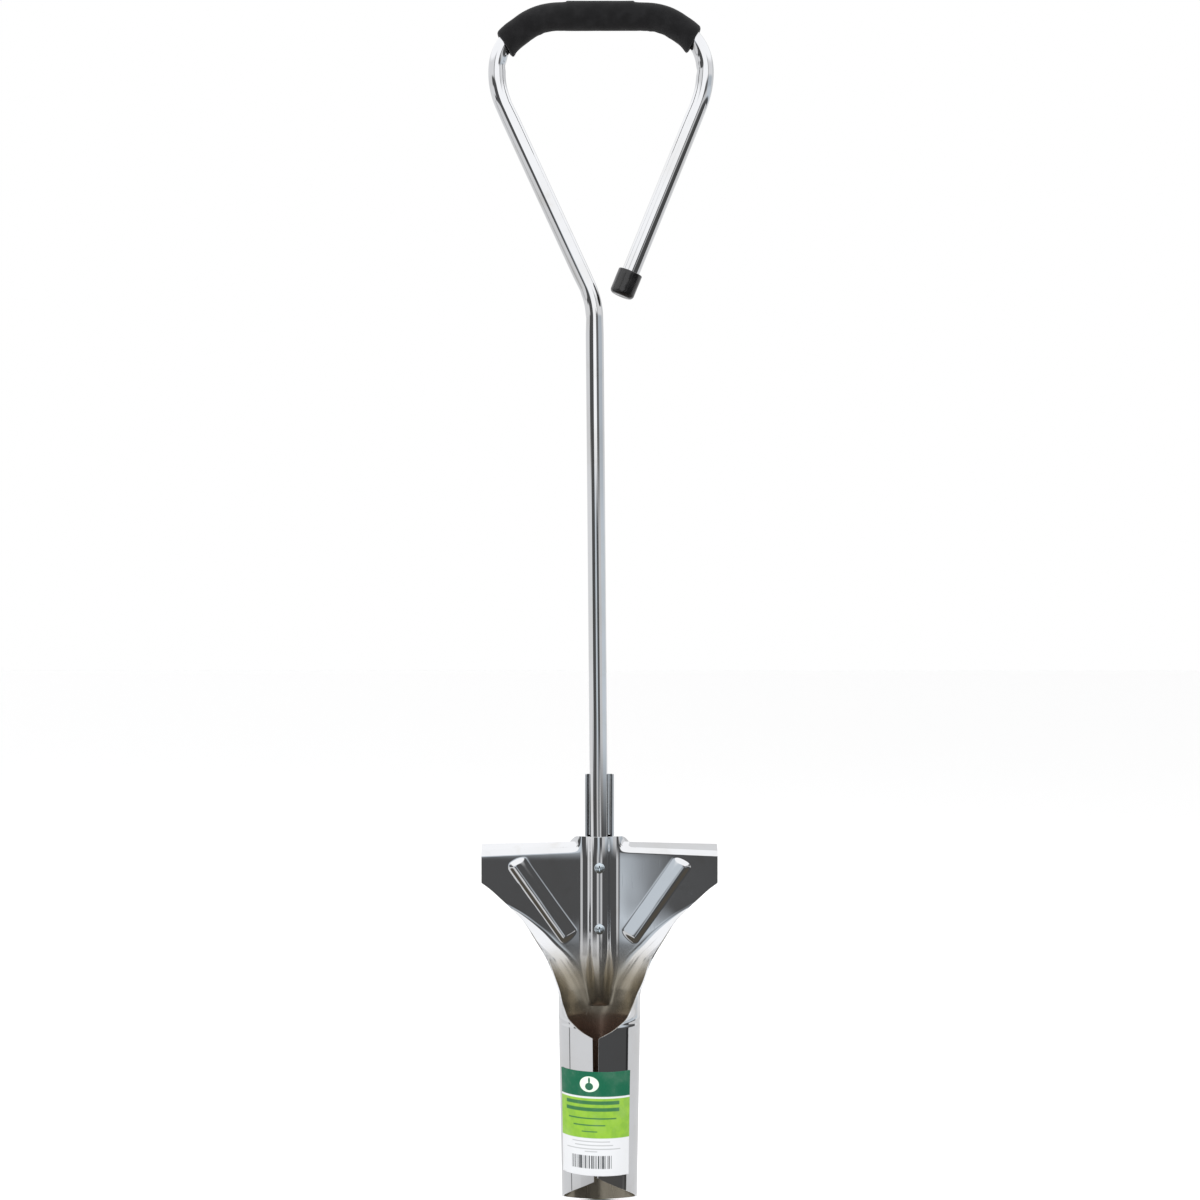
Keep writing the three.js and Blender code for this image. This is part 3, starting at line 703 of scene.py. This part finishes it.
# blade: one pressed and rolled sheet
blade = {
    "sheet": 1.4,
    "blankHeight": 292.6, "wingHalf": 95.3,
    "treadStart": 276.1, "treadBend": 5.3, "treadAngle": math.radians(70),
    "treadClear": (15.0, 25.0), "treadRise": 4.2,
    "rimR": 28.8, "mouthR": 31.4, "mouth": 140.4,
    "rimPeak": 29.6, "rimPower": 1.6, "rimFade": 120.0,
    "seamAtRim": 1.8, "seamAtMouth": 4.6,
    "seamAside": 3.0, "asideFade": (164.0, 190.0),   # the seam lies left of the middle
    "edge": [(140.4, 96.3), (146, 85.8), (152, 76.4), (158, 68.2), (164, 60.1), (170, 52.8), (176, 47.6),
             (184, 44.3), (192, 44.2), (200, 47), (209, 51.9), (218, 57.2), (226, 62.9), (234, 71),
             (242, 79.6), (250, 88.5), (255, 95.3)],
    "flat": [(150, 0), (162, 4), (175, 11.5), (192.6, 24), (204.7, 36.2), (212.7, 44.5), (218, 50.8),
             (224, 58.5), (230, 67), (236, 77), (245, 92), (255, 110)],
    "roll": [(140.4, 31.4), (152, 31.1), (162, 27.6), (173, 22.6), (187, 20.2), (203, 18.2),
             (225, 15.5)],
    "ridgeR": 8.4, "ridgeFillet": 11.0, "ridgeEnd": 157.0, "ridgeFull": 196.0, "ridgeEndWidth": 0.72,
    "ribTop": (69.0, 268.0), "ribBottom": (28.5, 211.0), "ribHeight": 1.0,
    "ribOuter": 4.2, "ribInner": 12.5,
    "rollEase": 8.0, "rollSteps": 28,   # the flat back eases into the rolled sides
    "wingLean": math.radians(0.6),    # each wing leans back a touch, away from the ridge
    "crown": 0.00075, "crownFrom": 268.0,    # and curls back just under its tread
    "waviness": 0.015,
    "waves": [(34, 42, 0.3, 1), (13, 17, 4.3, 0.4)],   # width, height, place in the noise, share
    "holeR": 2.4, "edgeRound": 0.3,
    "cell": 0.6, "sideColumns": 78,
    # heights of the grid's rows: up to, step
    "tubeRows": (140.4, 2.4), "rollRows": (200, 0.9), "wingStep": 0.75, "bendStep": 0.5, "treadStep": 1.0,
}
ridgeFoot = math.sqrt((blade["ridgeR"] + blade["ridgeFillet"]) ** 2 - blade["ridgeFillet"] ** 2)
ridgeShoulder = blade["ridgeR"] * ridgeFoot / (blade["ridgeR"] + blade["ridgeFillet"])
screwHeights = {}
for which in ("upper", "lower"):
    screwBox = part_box(which + "_screw")
    screwHeights[which] = (screwBox[0].z + screwBox[1].z) / 2 / mm


def soilTubeR(height):
    return mix(blade["rimR"], blade["mouthR"], clamp01(height / blade["mouth"]))


def blankEdge(height, sign):
    # width of the flat blank from its middle to its right (1) or left (-1) edge
    aside = sign * blade["seamAside"] * (1 - smoothStep(height, *blade["asideFade"]))
    if height > blade["mouth"]:
        return curveThrough(blade["edge"], height) + aside
    seam = mix(blade["seamAtRim"], blade["seamAtMouth"], clamp01(height / blade["mouth"]))
    return math.pi * soilTubeR(height) - seam / 2 + aside


def turnAt(reach, flat, ease, radius):
    # how far the sheet has turned at a distance from its middle; the roll begins gradually
    begun = reach - flat + ease
    if begun <= 0:
        return 0.0
    if begun < 2 * ease:
        return begun ** 2 / (4 * ease * radius)
    return (reach - flat) / radius


def rolledSheet(across, height):
    # middle of the rolled sheet before pressing, and the direction that its front faces
    flat = curveThrough(blade["flat"], height)
    radius = curveThrough(blade["roll"], height) if height > blade["mouth"] else soilTubeR(height)
    ease = min(flat, blade["rollEase"])
    begin, reach = min(flat - ease, abs(across)), abs(across)
    x, y = begin, 0.0
    steps = blade["rollSteps"] if reach > begin else 0
    for i in range(steps):
        turn = turnAt(mix(begin, reach, (i + 0.5) / steps), flat, ease, radius)
        x += math.cos(turn) * (reach - begin) / steps
        y -= math.sin(turn) * (reach - begin) / steps
    turn = turnAt(reach, flat, ease, radius)
    sign = math.copysign(1, across)
    return Vector((sign * x, y, height)), Vector((-sign * math.sin(turn), -math.cos(turn), 0))


def ridgeHeight(across, height):
    climb = clamp01((height - blade["ridgeEnd"]) / (blade["ridgeFull"] - blade["ridgeEnd"]))
    dome = math.sqrt(1 - (1 - climb) ** 2)
    x = abs(across) / mix(blade["ridgeEndWidth"], 1, climb)
    if x >= ridgeFoot or dome == 0:
        return 0.0
    if x <= ridgeShoulder:
        return dome * math.sqrt(blade["ridgeR"] ** 2 - x ** 2)
    fillet = blade["ridgeFillet"]
    return dome * (fillet - math.sqrt(fillet ** 2 - (ridgeFoot - x) ** 2))


def ribShare(across, height):
    # how far from the rib's crown the spot is, as a share of the rib's width
    top, bottom = Vector(blade["ribTop"]), Vector(blade["ribBottom"])
    line = top - bottom
    spot = Vector((abs(across), height)) - bottom
    along = spot.dot(line) / line.length
    beyond = along - max(0.0, min(line.length, along))
    outside = (spot.x * line.y - spot.y * line.x) / line.length
    width = blade["ribOuter"] if outside > 0 else blade["ribInner"]
    return min(1.0, math.hypot(outside / width, beyond / blade["ribOuter"]))


def pressedHeight(across, height):
    rib = blade["ribHeight"] * (1 - ribShare(across, height) ** 2) ** 2
    lean = math.tan(blade["wingLean"]) * max(0.0, abs(across) - ridgeFoot) * smoothStep(height, 205, 240)
    lean += blade["crown"] * max(0.0, height - blade["crownFrom"]) ** 2
    wave = sum(share * noise.noise(Vector((across / wide, height / tall, seed)))
               for wide, tall, seed, share in blade["waves"])
    return ridgeHeight(across, height) + rib - lean + blade["waviness"] * wave


def foldTread(spot):
    low, high = blade["treadClear"]
    share = smoothStep(abs(spot.x), low, high)
    start = blade["treadStart"] + blade["treadRise"] * (1 - abs(spot.x) / blade["wingHalf"])
    over = spot.z - start
    if over <= 0 or share == 0:
        return spot
    fullTurn = blade["treadAngle"] * share
    radius = blade["treadBend"] / share
    turn = min(over / radius, fullTurn)
    straight = max(over - radius * fullTurn, 0)
    spot.z = start + radius * math.sin(turn) + straight * math.cos(turn)
    spot.y += radius * (1 - math.cos(turn)) + straight * math.sin(turn)
    return spot


def bladePoint(across, height):
    spot, facing = rolledSheet(across, height)
    spot = foldTread(spot + facing * pressedHeight(across, height))
    return (spot.x, spot.y + axisY, spot.z)


def drilled(across, height, cell):
    # pushes a grid point out of a screw hole onto its edge; True where it lies well inside
    for holeHeight in screwHeights.values():
        away = Vector((across, height - holeHeight))
        if away.length < blade["holeR"] + cell * 0.75:
            if away.length < blade["holeR"] - cell * 0.75:
                return across, height, True
            away = away.normalized() * blade["holeR"]
            return away.x, holeHeight + away.y, False
    return across, height, False


def makeBlade():
    cell, sides = blade["cell"], blade["sideColumns"]
    inner = spread(0, ridgeFoot, cell)
    outer = [i / sides for i in range(1, sides + 1)]
    right = [(a, 0.0) for a in inner[1:]] + [(ridgeFoot, share) for share in outer]
    columns = [(-1, *c) for c in reversed(right)] + [(1, 0.0, 0.0)] + [(1, *c) for c in right]
    bendEnd = blade["treadStart"] + blade["treadRise"] + blade["treadBend"] * blade["treadAngle"]
    rows = [0.0]
    for high, step in (blade["tubeRows"], blade["rollRows"], (blade["treadStart"] - 1, blade["wingStep"]),
                       (bendEnd, blade["bendStep"]), (blade["blankHeight"], blade["treadStep"])):
        rows += spread(rows[-1], high, step)[1:]
    vertices, gone, uvs = [], set(), []
    for row in rows:
        for sign, fixed, share in columns:
            nominal = fixed + share * (blankEdge(row, sign) - fixed)
            lift = (nominal / (math.pi * blade["rimR"])) ** blade["rimPower"]
            height = row + blade["rimPeak"] * lift * clamp01(1 - row / blade["rimFade"])
            across = sign * (fixed + share * (blankEdge(height, sign) - fixed))
            across, height, inHole = drilled(across, height, cell)
            if inHole:
                gone.add(len(vertices))
            vertices.append(bladePoint(across, height))
            uvs.append((0.5 + across / 200, height / 300))
    sheet = meshPiece("bladeSheet", vertices, gridFaces(len(columns), len(rows), gone), uvs)
    dropLoose(sheet)
    return sheet


def dropLoose(piece):
    # removes points that no face uses
    work = bmesh.new()
    work.from_mesh(piece.data)
    bmesh.ops.delete(work, geom=[v for v in work.verts if not v.link_faces], context="VERTS")
    work.to_mesh(piece.data)
    work.free()


def thicken(piece, thickness, edgeWidth, edgeMaterial=0, backMaterial=0):
    solid = piece.modifiers.new("sheet thickness", "SOLIDIFY")
    solid.thickness = thickness * mm
    solid.offset = 0
    solid.use_even_offset = True
    solid.material_offset_rim = edgeMaterial
    solid.material_offset = backMaterial
    return softenEdges(piece, edgeWidth, 60, 2)


bladeSheet = makeBlade()
thicken(bladeSheet, blade["sheet"], blade["edgeRound"], 1, 2)
place(bladeSheet, "blade", "chrome_plate", chromeFrontWithPaintedReflection, chromeEdge, chrome)
print("blade: sheet pressed and rolled")


# rear channel
channel = {"width": 23.0, "wall": 1.5, "bendR": 3.0, "cell": 0.6, "edgeRound": 0.25}


def makeChannel():
    low, high = (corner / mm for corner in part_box("rear_channel"))
    half = channel["width"] / 2 - channel["wall"] / 2
    floor = high.y - channel["wall"] / 2
    radius = channel["bendR"] - channel["wall"] / 2
    section = [(-half, y) for y in spread(low.y, floor - radius, channel["cell"])]
    for i in range(1, 9):
        angle = math.pi / 2 * i / 8
        section.append((-half + radius * (1 - math.cos(angle)), floor - radius * (1 - math.sin(angle))))
    section += [(x, floor) for x in spread(radius - half, half - radius, channel["cell"])[1:]]
    section += [(-x, y) for x, y in reversed(section) if x < radius - half]
    rows = spread(low.z, high.z, channel["cell"])
    vertices, gone = [], set()
    for height in rows:
        for x, y in section:
            across, up, inHole = drilled(x, height, channel["cell"]) if y == floor else (x, height, False)
            if inHole:
                gone.add(len(vertices))
            vertices.append((across, y, up))
    piece = meshPiece("rearChannel", vertices, gridFaces(len(section), len(rows), gone))
    dropLoose(piece)
    return piece


rearChannel = makeChannel()
thicken(rearChannel, channel["wall"], channel["edgeRound"])
place(rearChannel, "rear_channel", "chrome_plate", chrome)
print("blade: rear channel folded")


# screws, lock washers and nuts
fastener = {
    "headR": 4.2, "headHeight": 2.6, "crown": 0.75, "edgeRound": 0.9,
    "recessHalf": 2.0, "recessWidth": 0.42, "recessDepth": 1.5,
    "shankR": 2.0, "rootR": 1.68, "pitch": 0.8, "threadFrom": 17.0,
    "washerR": 4.1, "washerBore": 2.35, "washerLift": 0.35, "washerSlit": 0.12,
    "washerSteps": 90, "washerRound": 0.12,
    "acrossFlats": 7.0, "nutBore": 2.2, "sides": 96,
    "underRound": 0.15, "threadStep": 0.1, "boreChamfer": 0.25, "flatShare": 0.97,
}


def ringAlongY(middleZ, y, radiusAt, depthAt=None):
    ring = []
    for k in range(fastener["sides"]):
        angle = 2 * math.pi * k / fastener["sides"]
        radius = radiusAt(angle) if callable(radiusAt) else radiusAt
        depth = depthAt(radius, angle) if depthAt else 0.0
        ring.append((radius * math.cos(angle), y + depth, middleZ + radius * math.sin(angle)))
    return ring


def recessDepth(radius, angle):
    # cross recess: four tapering wings that meet in the middle
    turned = (angle + math.pi / 4) % (math.pi / 2) - math.pi / 4
    along, aside = radius * math.cos(turned), radius * abs(math.sin(turned))
    taper = clamp01(1 - along / fastener["recessHalf"])
    wing = 1 - smoothStep(aside, fastener["recessWidth"] * 0.7, fastener["recessWidth"] * 1.15)
    reach = 1 - smoothStep(along, fastener["recessHalf"] * 0.86, fastener["recessHalf"] * 1.05)
    return fastener["recessDepth"] * (0.45 + 0.55 * taper) * wing * reach


def makeScrew(which):
    low, high = (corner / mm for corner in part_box(which + "_screw"))
    middleZ = (low.z + high.z) / 2
    face, end = low.y, high.y
    seat = face + fastener["headHeight"]
    flatR = fastener["headR"] - fastener["edgeRound"]

    def crownY(radius):
        return face + fastener["crown"] * (radius / fastener["headR"]) ** 2

    rings = [ringAlongY(middleZ, crownY(r), r, recessDepth) for r in spread(0.06, flatR, 0.12)]
    rimY = crownY(flatR)
    for i in range(1, 9):
        angle = math.pi / 2 * i / 8
        radius = flatR + fastener["edgeRound"] * math.sin(angle)
        rings.append(ringAlongY(middleZ, rimY + fastener["edgeRound"] * (1 - math.cos(angle)), radius))
    threadStart, under = face + fastener["threadFrom"], fastener["underRound"]
    for y, radius in ((seat - under, fastener["headR"]), (seat, fastener["headR"] - under),
                      (seat, fastener["shankR"]), (threadStart, fastener["shankR"])):
        rings.append(ringAlongY(middleZ, y, radius))
    for y in spread(threadStart, end - 0.5, fastener["threadStep"])[1:]:

        def threadR(angle, y=y):
            turn = (y / fastener["pitch"] - angle / (2 * math.pi)) % 1
            flank = 1 - abs(2 * turn - 1)
            fade = smoothStep(y, threadStart, threadStart + fastener["pitch"])
            depth = (fastener["shankR"] - fastener["rootR"]) * smoothStep(flank, 0.12, 0.85)
            return fastener["shankR"] - depth * fade

        rings.append(ringAlongY(middleZ, y, threadR))
    rings.append(ringAlongY(middleZ, end, fastener["rootR"] - 0.35))
    rings.append(ringAlongY(middleZ, end, 0.2))
    screw = ringsPiece(which + "Screw", rings, False)
    return place(screw, which + "_screw", "zinc_plate", zinc)


def makeLockWasher(which):
    low, high = (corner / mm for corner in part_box(which + "_lock_washer"))
    middleZ = (low.z + high.z) / 2
    inner, outer = fastener["washerBore"], fastener["washerR"]
    soft, steps = fastener["washerRound"], fastener["washerSteps"]
    thick = high.y - low.y - fastener["washerLift"] * 0.5
    section = [(inner + soft, 0), (outer - soft, 0), (outer, soft), (outer, thick - soft),
               (outer - soft, thick), (inner + soft, thick), (inner, thick - soft), (inner, soft)]
    rings = []
    for i in range(steps + 1):
        angle = mix(fastener["washerSlit"], 2 * math.pi - fastener["washerSlit"], i / steps)
        lift = fastener["washerLift"] * 0.5 * (i / steps)
        rings.append([(r * math.cos(angle), low.y + y + lift, middleZ + r * math.sin(angle))
                      for r, y in section])
    washer = ringsPiece(which + "LockWasher", rings, False)
    softenEdges(washer, 0.05, 40, 2)
    return place(washer, which + "_lock_washer", "zinc_plate", zinc)


def makeNut(which):
    low, high = (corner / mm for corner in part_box(which + "_nut"))
    middleZ = (low.z + high.z) / 2
    half = fastener["acrossFlats"] / 2
    flatR, chamfered = half * fastener["flatShare"], fastener["boreChamfer"]

    def hexR(angle):
        return half / math.cos((angle + math.pi / 6) % (math.pi / 3) - math.pi / 6)

    def chamfer(radius, angle):
        return math.tan(math.radians(30)) * max(0.0, radius - flatR)

    def threadR(y):
        return lambda angle: fastener["nutBore"] - 0.12 * abs(
            2 * ((y / fastener["pitch"] - angle / (2 * math.pi)) % 1) - 1)

    bore = fastener["nutBore"] + chamfered
    rings = [ringAlongY(middleZ, low.y, bore), ringAlongY(middleZ, low.y, flatR)]
    rings.append(ringAlongY(middleZ, low.y, hexR, chamfer))
    rings.append(ringAlongY(middleZ, high.y, hexR, lambda r, a: -chamfer(r, a)))
    rings += [ringAlongY(middleZ, high.y, flatR), ringAlongY(middleZ, high.y, bore)]
    for y in spread(high.y - chamfered, low.y + chamfered, 0.12):
        rings.append(ringAlongY(middleZ, y, threadR(y)))
    nut = ringsPiece(which + "Nut", rings, True)
    softenEdges(nut, 0.08, 35, 2)
    return place(nut, which + "_nut", "zinc_plate", zinc)


for which in ("upper", "lower"):
    makeScrew(which)
    makeLockWasher(which)
    makeNut(which)
print("fasteners: screws, washers and nuts made")


# paper label
labelSet = {
    "left": math.radians(-69), "right": math.radians(48.5),
    "bottom": 32.3, "top": 114.4,
    "thickness": 0.2, "gap": 0.3,
    "skew": 0.9,              # right side sits lower, mm
    "lift": 0.35,             # the corners have let go slightly, mm
    "darkGreen": (0.0, 0.115, 0.055, 1), "lime": (0.255, 0.475, 0.035, 1),
    "limeDeep": (0.21, 0.42, 0.035, 1), "paper": (0.67, 0.68, 0.70, 1), "ink": (0.03, 0.035, 0.04, 1),
    "badge": (0.72, 0.84, 0.70, 1),
    "greenFoot": 0.762, "limeTop": 0.744, "limeFoot": 0.362,
    "soil": (0.5, 0.49, 0.46, 1),
    # plain rules where the wording would be: left, right, bottom, top
    "rules": [(0.12, 0.84, 0.685, 0.72), (0.12, 0.84, 0.62, 0.655), (0.16, 0.80, 0.545, 0.558),
              (0.24, 0.66, 0.48, 0.492), (0.36, 0.56, 0.42, 0.43)],
    "smallRules": [(0.22, 0.72, 0.325), (0.26, 0.76, 0.29), (0.12, 0.86, 0.255), (0.4, 0.56, 0.23)],
    "smallTall": 0.008, "ruleInk": 0.85, "smallInk": 0.45, "codeInk": 0.9,
    "code": (0.2, 0.74, 0.07, 0.195), "codeScale": 60.0,
}


def makeLabel():
    columns, rows = spread(0, 1, 1 / 90), spread(0, 1, 1 / 110)
    vertices, uvs = [], []
    for v in rows:
        for u in columns:
            height = mix(labelSet["bottom"], labelSet["top"], v) + labelSet["skew"] * (0.5 - u)
            angle = mix(labelSet["left"], labelSet["right"], u)
            axis = soilTubeR(height)
            nearEnd = max(0.0, abs(2 * u - 1) - 0.86) / 0.14
            nearCorner = nearEnd ** 2 * (0.4 + 0.6 * abs(2 * v - 1) ** 6)
            crease = 0.05 * noise.noise(Vector((u * 6, v * 9, 2.0)))
            radius = axis + blade["sheet"] / 2 + labelSet["gap"] / 2 + labelSet["thickness"] / 2
            radius += labelSet["lift"] * nearCorner + crease
            vertices.append((radius * math.sin(angle), axisY - axis - radius * math.cos(angle), height))
            uvs.append((u, v))
    piece = meshPiece("paperLabel", vertices, gridFaces(len(columns), len(rows)), uvs)
    solid = piece.modifiers.new("paper thickness", "SOLIDIFY")
    solid.thickness = labelSet["thickness"] * mm
    solid.offset = 0
    return piece


def barMask(tree, u, v, left, right, low, high, soft=0.004):
    sides = mathNode(tree, "MULTIPLY", rangeNode(tree, u, left - soft, left + soft),
                     rangeNode(tree, u, right + soft, right - soft))
    ends = mathNode(tree, "MULTIPLY", rangeNode(tree, v, low - soft, low + soft),
                    rangeNode(tree, v, high + soft, high - soft))
    return mathNode(tree, "MULTIPLY", sides, ends)


def discMask(tree, u, v, centre, size, soft=0.06):
    # soft-edged ellipse
    x = mathNode(tree, "DIVIDE", mathNode(tree, "SUBTRACT", u, centre[0]), size[0])
    y = mathNode(tree, "DIVIDE", mathNode(tree, "SUBTRACT", v, centre[1]), size[1])
    square = mathNode(tree, "ADD", mathNode(tree, "MULTIPLY", x, x), mathNode(tree, "MULTIPLY", y, y))
    return rangeNode(tree, square, 1 + soft, 1 - soft)


def makeLabelPaper():
    material, tree, shader = newMaterial("printedPaper", Roughness=0.5, Specular_IOR_Level=0.3,
                                         Coat_Weight=0.05, Coat_Roughness=0.3)
    spot = tree.nodes.new("ShaderNodeSeparateXYZ")
    link(tree, tree.nodes.new("ShaderNodeTexCoord").outputs["UV"], spot.inputs[0])
    u, v = spot.outputs[0], spot.outputs[1]
    mottle = noiseNode(tree, positionIn(tree), 140.0, 3.0, 0.6)
    lime = mixColour(tree, rangeNode(tree, mottle, 0.4, 0.65), labelSet["lime"], labelSet["limeDeep"])
    colour = mixColour(tree, barMask(tree, u, v, -1, 2, labelSet["limeFoot"], labelSet["limeTop"]),
                       labelSet["paper"], lime)
    colour = mixColour(tree, barMask(tree, u, v, -1, 2, labelSet["greenFoot"], 2), colour,
                       labelSet["darkGreen"])
    # plain bulb mark: a pale oval with a darker bulb and one upright shoot
    for centre, size, shade in (((0.46, 0.88), (0.12, 0.075), labelSet["badge"]),
                                ((0.46, 0.858), (0.05, 0.036), labelSet["darkGreen"]),
                                ((0.46, 0.915), (0.012, 0.032), labelSet["darkGreen"])):
        colour = mixColour(tree, discMask(tree, u, v, centre, size), colour, shade)
    printed = [(rule, labelSet["ruleInk"], labelSet["darkGreen"]) for rule in labelSet["rules"]]
    printed += [((left, right, low, low + labelSet["smallTall"]), labelSet["smallInk"], labelSet["ink"])
                for left, right, low in labelSet["smallRules"]]
    for rule, strength, shade in printed:
        bar = mathNode(tree, "MULTIPLY", barMask(tree, u, v, *rule), strength)
        colour = mixColour(tree, bar, colour, shade)
    # strip code: stripes of changing width
    stripes = tree.nodes.new("ShaderNodeTexNoise")
    stripes.noise_dimensions = "1D"
    stripes.inputs["Scale"].default_value = labelSet["codeScale"]
    stripes.inputs["Detail"].default_value = 0.0
    link(tree, u, stripes.inputs["W"])
    dark = rangeNode(tree, stripes.outputs["Fac"], 0.47, 0.5)
    code = mathNode(tree, "MULTIPLY", dark, barMask(tree, u, v, *labelSet["code"]))
    colour = mixColour(tree, mathNode(tree, "MULTIPLY", code, labelSet["codeInk"]), colour, labelSet["ink"])
    film = groupNode(tree, smudges, Scale=60.0, Cover=0.08)
    soiled = mixColour(tree, film.outputs["Mask"], colour, labelSet["soil"])
    link(tree, soiled, shader.inputs["Base Color"])
    fibre = groupNode(tree, grain, Cells=3000.0, Lumps=260.0, Lump_Share=1.0)
    bumpInto(tree, shader, fibre.outputs["Height"], 0.012)
    return material


place(makeLabel(), "label", "label_paper", makeLabelPaper())
print("label: printed and wrapped")


# studio: pale floor, soft lights, and what the chrome mirrors
studio = {
    "floorSize": 30.0, "floorColour": (0.998, 0.998, 0.998, 1),
    "daylight": 1.0,
    # soft boxes for the matte pieces: place, size, power
    "boxes": {
        "keyBox": ((-1.6, -1.9, 2.0), 1.4, 34.0),
        "fillBox": ((1.9, -1.4, 1.2), 1.6, 12.0),
        "backBox": ((0.3, 2.2, 1.8), 1.6, 14.0),
    },
    "aim": (0.0, 0.0, 0.55),
}

# bands that polished metal mirrors, at each height of view (degrees above level):
# (bearing in degrees where the band starts, with 0 towards the lens and + to its right, shade)
white, pale, grey, dim, dark = 1.12, 0.80, 0.62, 0.30, 0.085
tan, rust, blueish = (0.33, 0.315, 0.29), (0.20, 0.14, 0.12), (0.62, 0.67, 0.72)
mirrored = {
    -75: [(-180, (0.24, 0.225, 0.205)), (-60, rust), (60, (0.24, 0.225, 0.205))],
    -28: [(-180, pale), (-120, tan), (-60, (0.09, 0.08, 0.065)), (75, tan), (130, pale)],
    -8.6: [(-180, 0.72), (-97, dark), (-94, 0.74), (-3, 0.075), (82, 0.03), (91, 0.70)],
    -7.2: [(-180, pale), (-78, dark), (-27, grey), (-8, dark), (0, blueish), (2.5, dark), (8.5, grey),
           (28, dark), (120, pale)],
    -0.5: [(-180, pale), (-60, dark), (-19, blueish), (0, dark), (26, grey), (60, blueish), (130, pale)],
    6: [(-180, 0.75), (-73, dark), (-19, white), (19, 0.14), (48, (0.50, 0.54, 0.58)), (106, 0.68)],
    12: [(-180, pale), (-40, dim), (-30, white), (40, dim), (47, pale), (120, grey)],
    30: [(-180, white), (150, pale)],
}


def asColour(shade):
    return (*shade, 1) if isinstance(shade, tuple) else (shade, shade, shade * 1.01, 1)


def makeFloor():
    half = studio["floorSize"] / 2 / mm
    floor = meshPiece("floor", [(-half, -half, 0), (half, -half, 0), (half, half, 0), (-half, half, 0)],
                      [(0, 1, 2, 3)])
    material = newMaterial("paleFloor", Roughness=0.6, Base_Color=studio["floorColour"])[0]
    floor.data.materials.append(material)
    floor.visible_glossy = False


def makeLights():
    for name, (spot, size, power) in studio["boxes"].items():
        light = bpy.data.lights.new(name, "AREA")
        light.size = size
        light.energy = power
        lamp = bpy.data.objects.new(name, light)
        lamp.location = spot
        lamp.rotation_euler = (Vector(studio["aim"]) - Vector(spot)).to_track_quat("-Z", "Y").to_euler()
        lamp.visible_glossy = False
        lamp.visible_camera = False
        scene.collection.objects.link(lamp)


def bandRamp(tree, bearing, bands, soft=0.0009):
    ramp = tree.nodes.new("ShaderNodeValToRGB")
    elements = ramp.color_ramp.elements
    starts = [((start + 180) / 360, asColour(shade)) for start, shade in bands]
    elements[0].position = 0.0
    elements[0].color = starts[0][1]
    elements[1].position = 1.0
    elements[1].color = starts[-1][1]
    for (_, before), (spot, after) in zip(starts, starts[1:]):
        elements.new(spot - soft).color = before
        elements.new(spot + soft).color = after
    link(tree, bearing, ramp.inputs[0])
    return ramp.outputs["Color"]


def makeWorld():
    world = bpy.data.worlds.new("studioSurround")
    world.use_nodes = True
    scene.world = world
    tree = world.node_tree
    tree.nodes.clear()
    split = tree.nodes.new("ShaderNodeSeparateXYZ")
    link(tree, tree.nodes.new("ShaderNodeTexCoord").outputs["Generated"], split.inputs[0])
    forward = mathNode(tree, "MULTIPLY", split.outputs[1], -1.0)
    turned = mathNode(tree, "ARCTAN2", split.outputs[0], forward)
    bearing = mathNode(tree, "MULTIPLY_ADD", turned, 1 / (2 * math.pi), 0.5)
    level = mathNode(tree, "MULTIPLY", mathNode(tree, "ARCSINE", split.outputs[2]), 180 / math.pi)
    heights = sorted(mirrored)
    colour = bandRamp(tree, bearing, mirrored[heights[0]])
    for low, high in zip(heights, heights[1:]):
        share = rangeNode(tree, level, mix(low, high, 0.3), mix(low, high, 0.7))
        colour = mixColour(tree, share, colour, bandRamp(tree, bearing, mirrored[high]))
    path = tree.nodes.new("ShaderNodeLightPath")
    plain = tree.nodes.new("ShaderNodeBackground")
    plain.inputs["Color"].default_value = (1, 1, 1, 1)
    plain.inputs["Strength"].default_value = studio["daylight"]
    bands = tree.nodes.new("ShaderNodeBackground")
    link(tree, colour, bands.inputs["Color"])
    either = tree.nodes.new("ShaderNodeMixShader")
    link(tree, path.outputs["Is Glossy Ray"], either.inputs[0])
    link(tree, plain.outputs[0], either.inputs[1])
    link(tree, bands.outputs[0], either.inputs[2])
    link(tree, either.outputs[0], tree.nodes.new("ShaderNodeOutputWorld").inputs["Surface"])


makeFloor()
makeLights()
makeWorld()
print("studio: floor, lights and surround set")
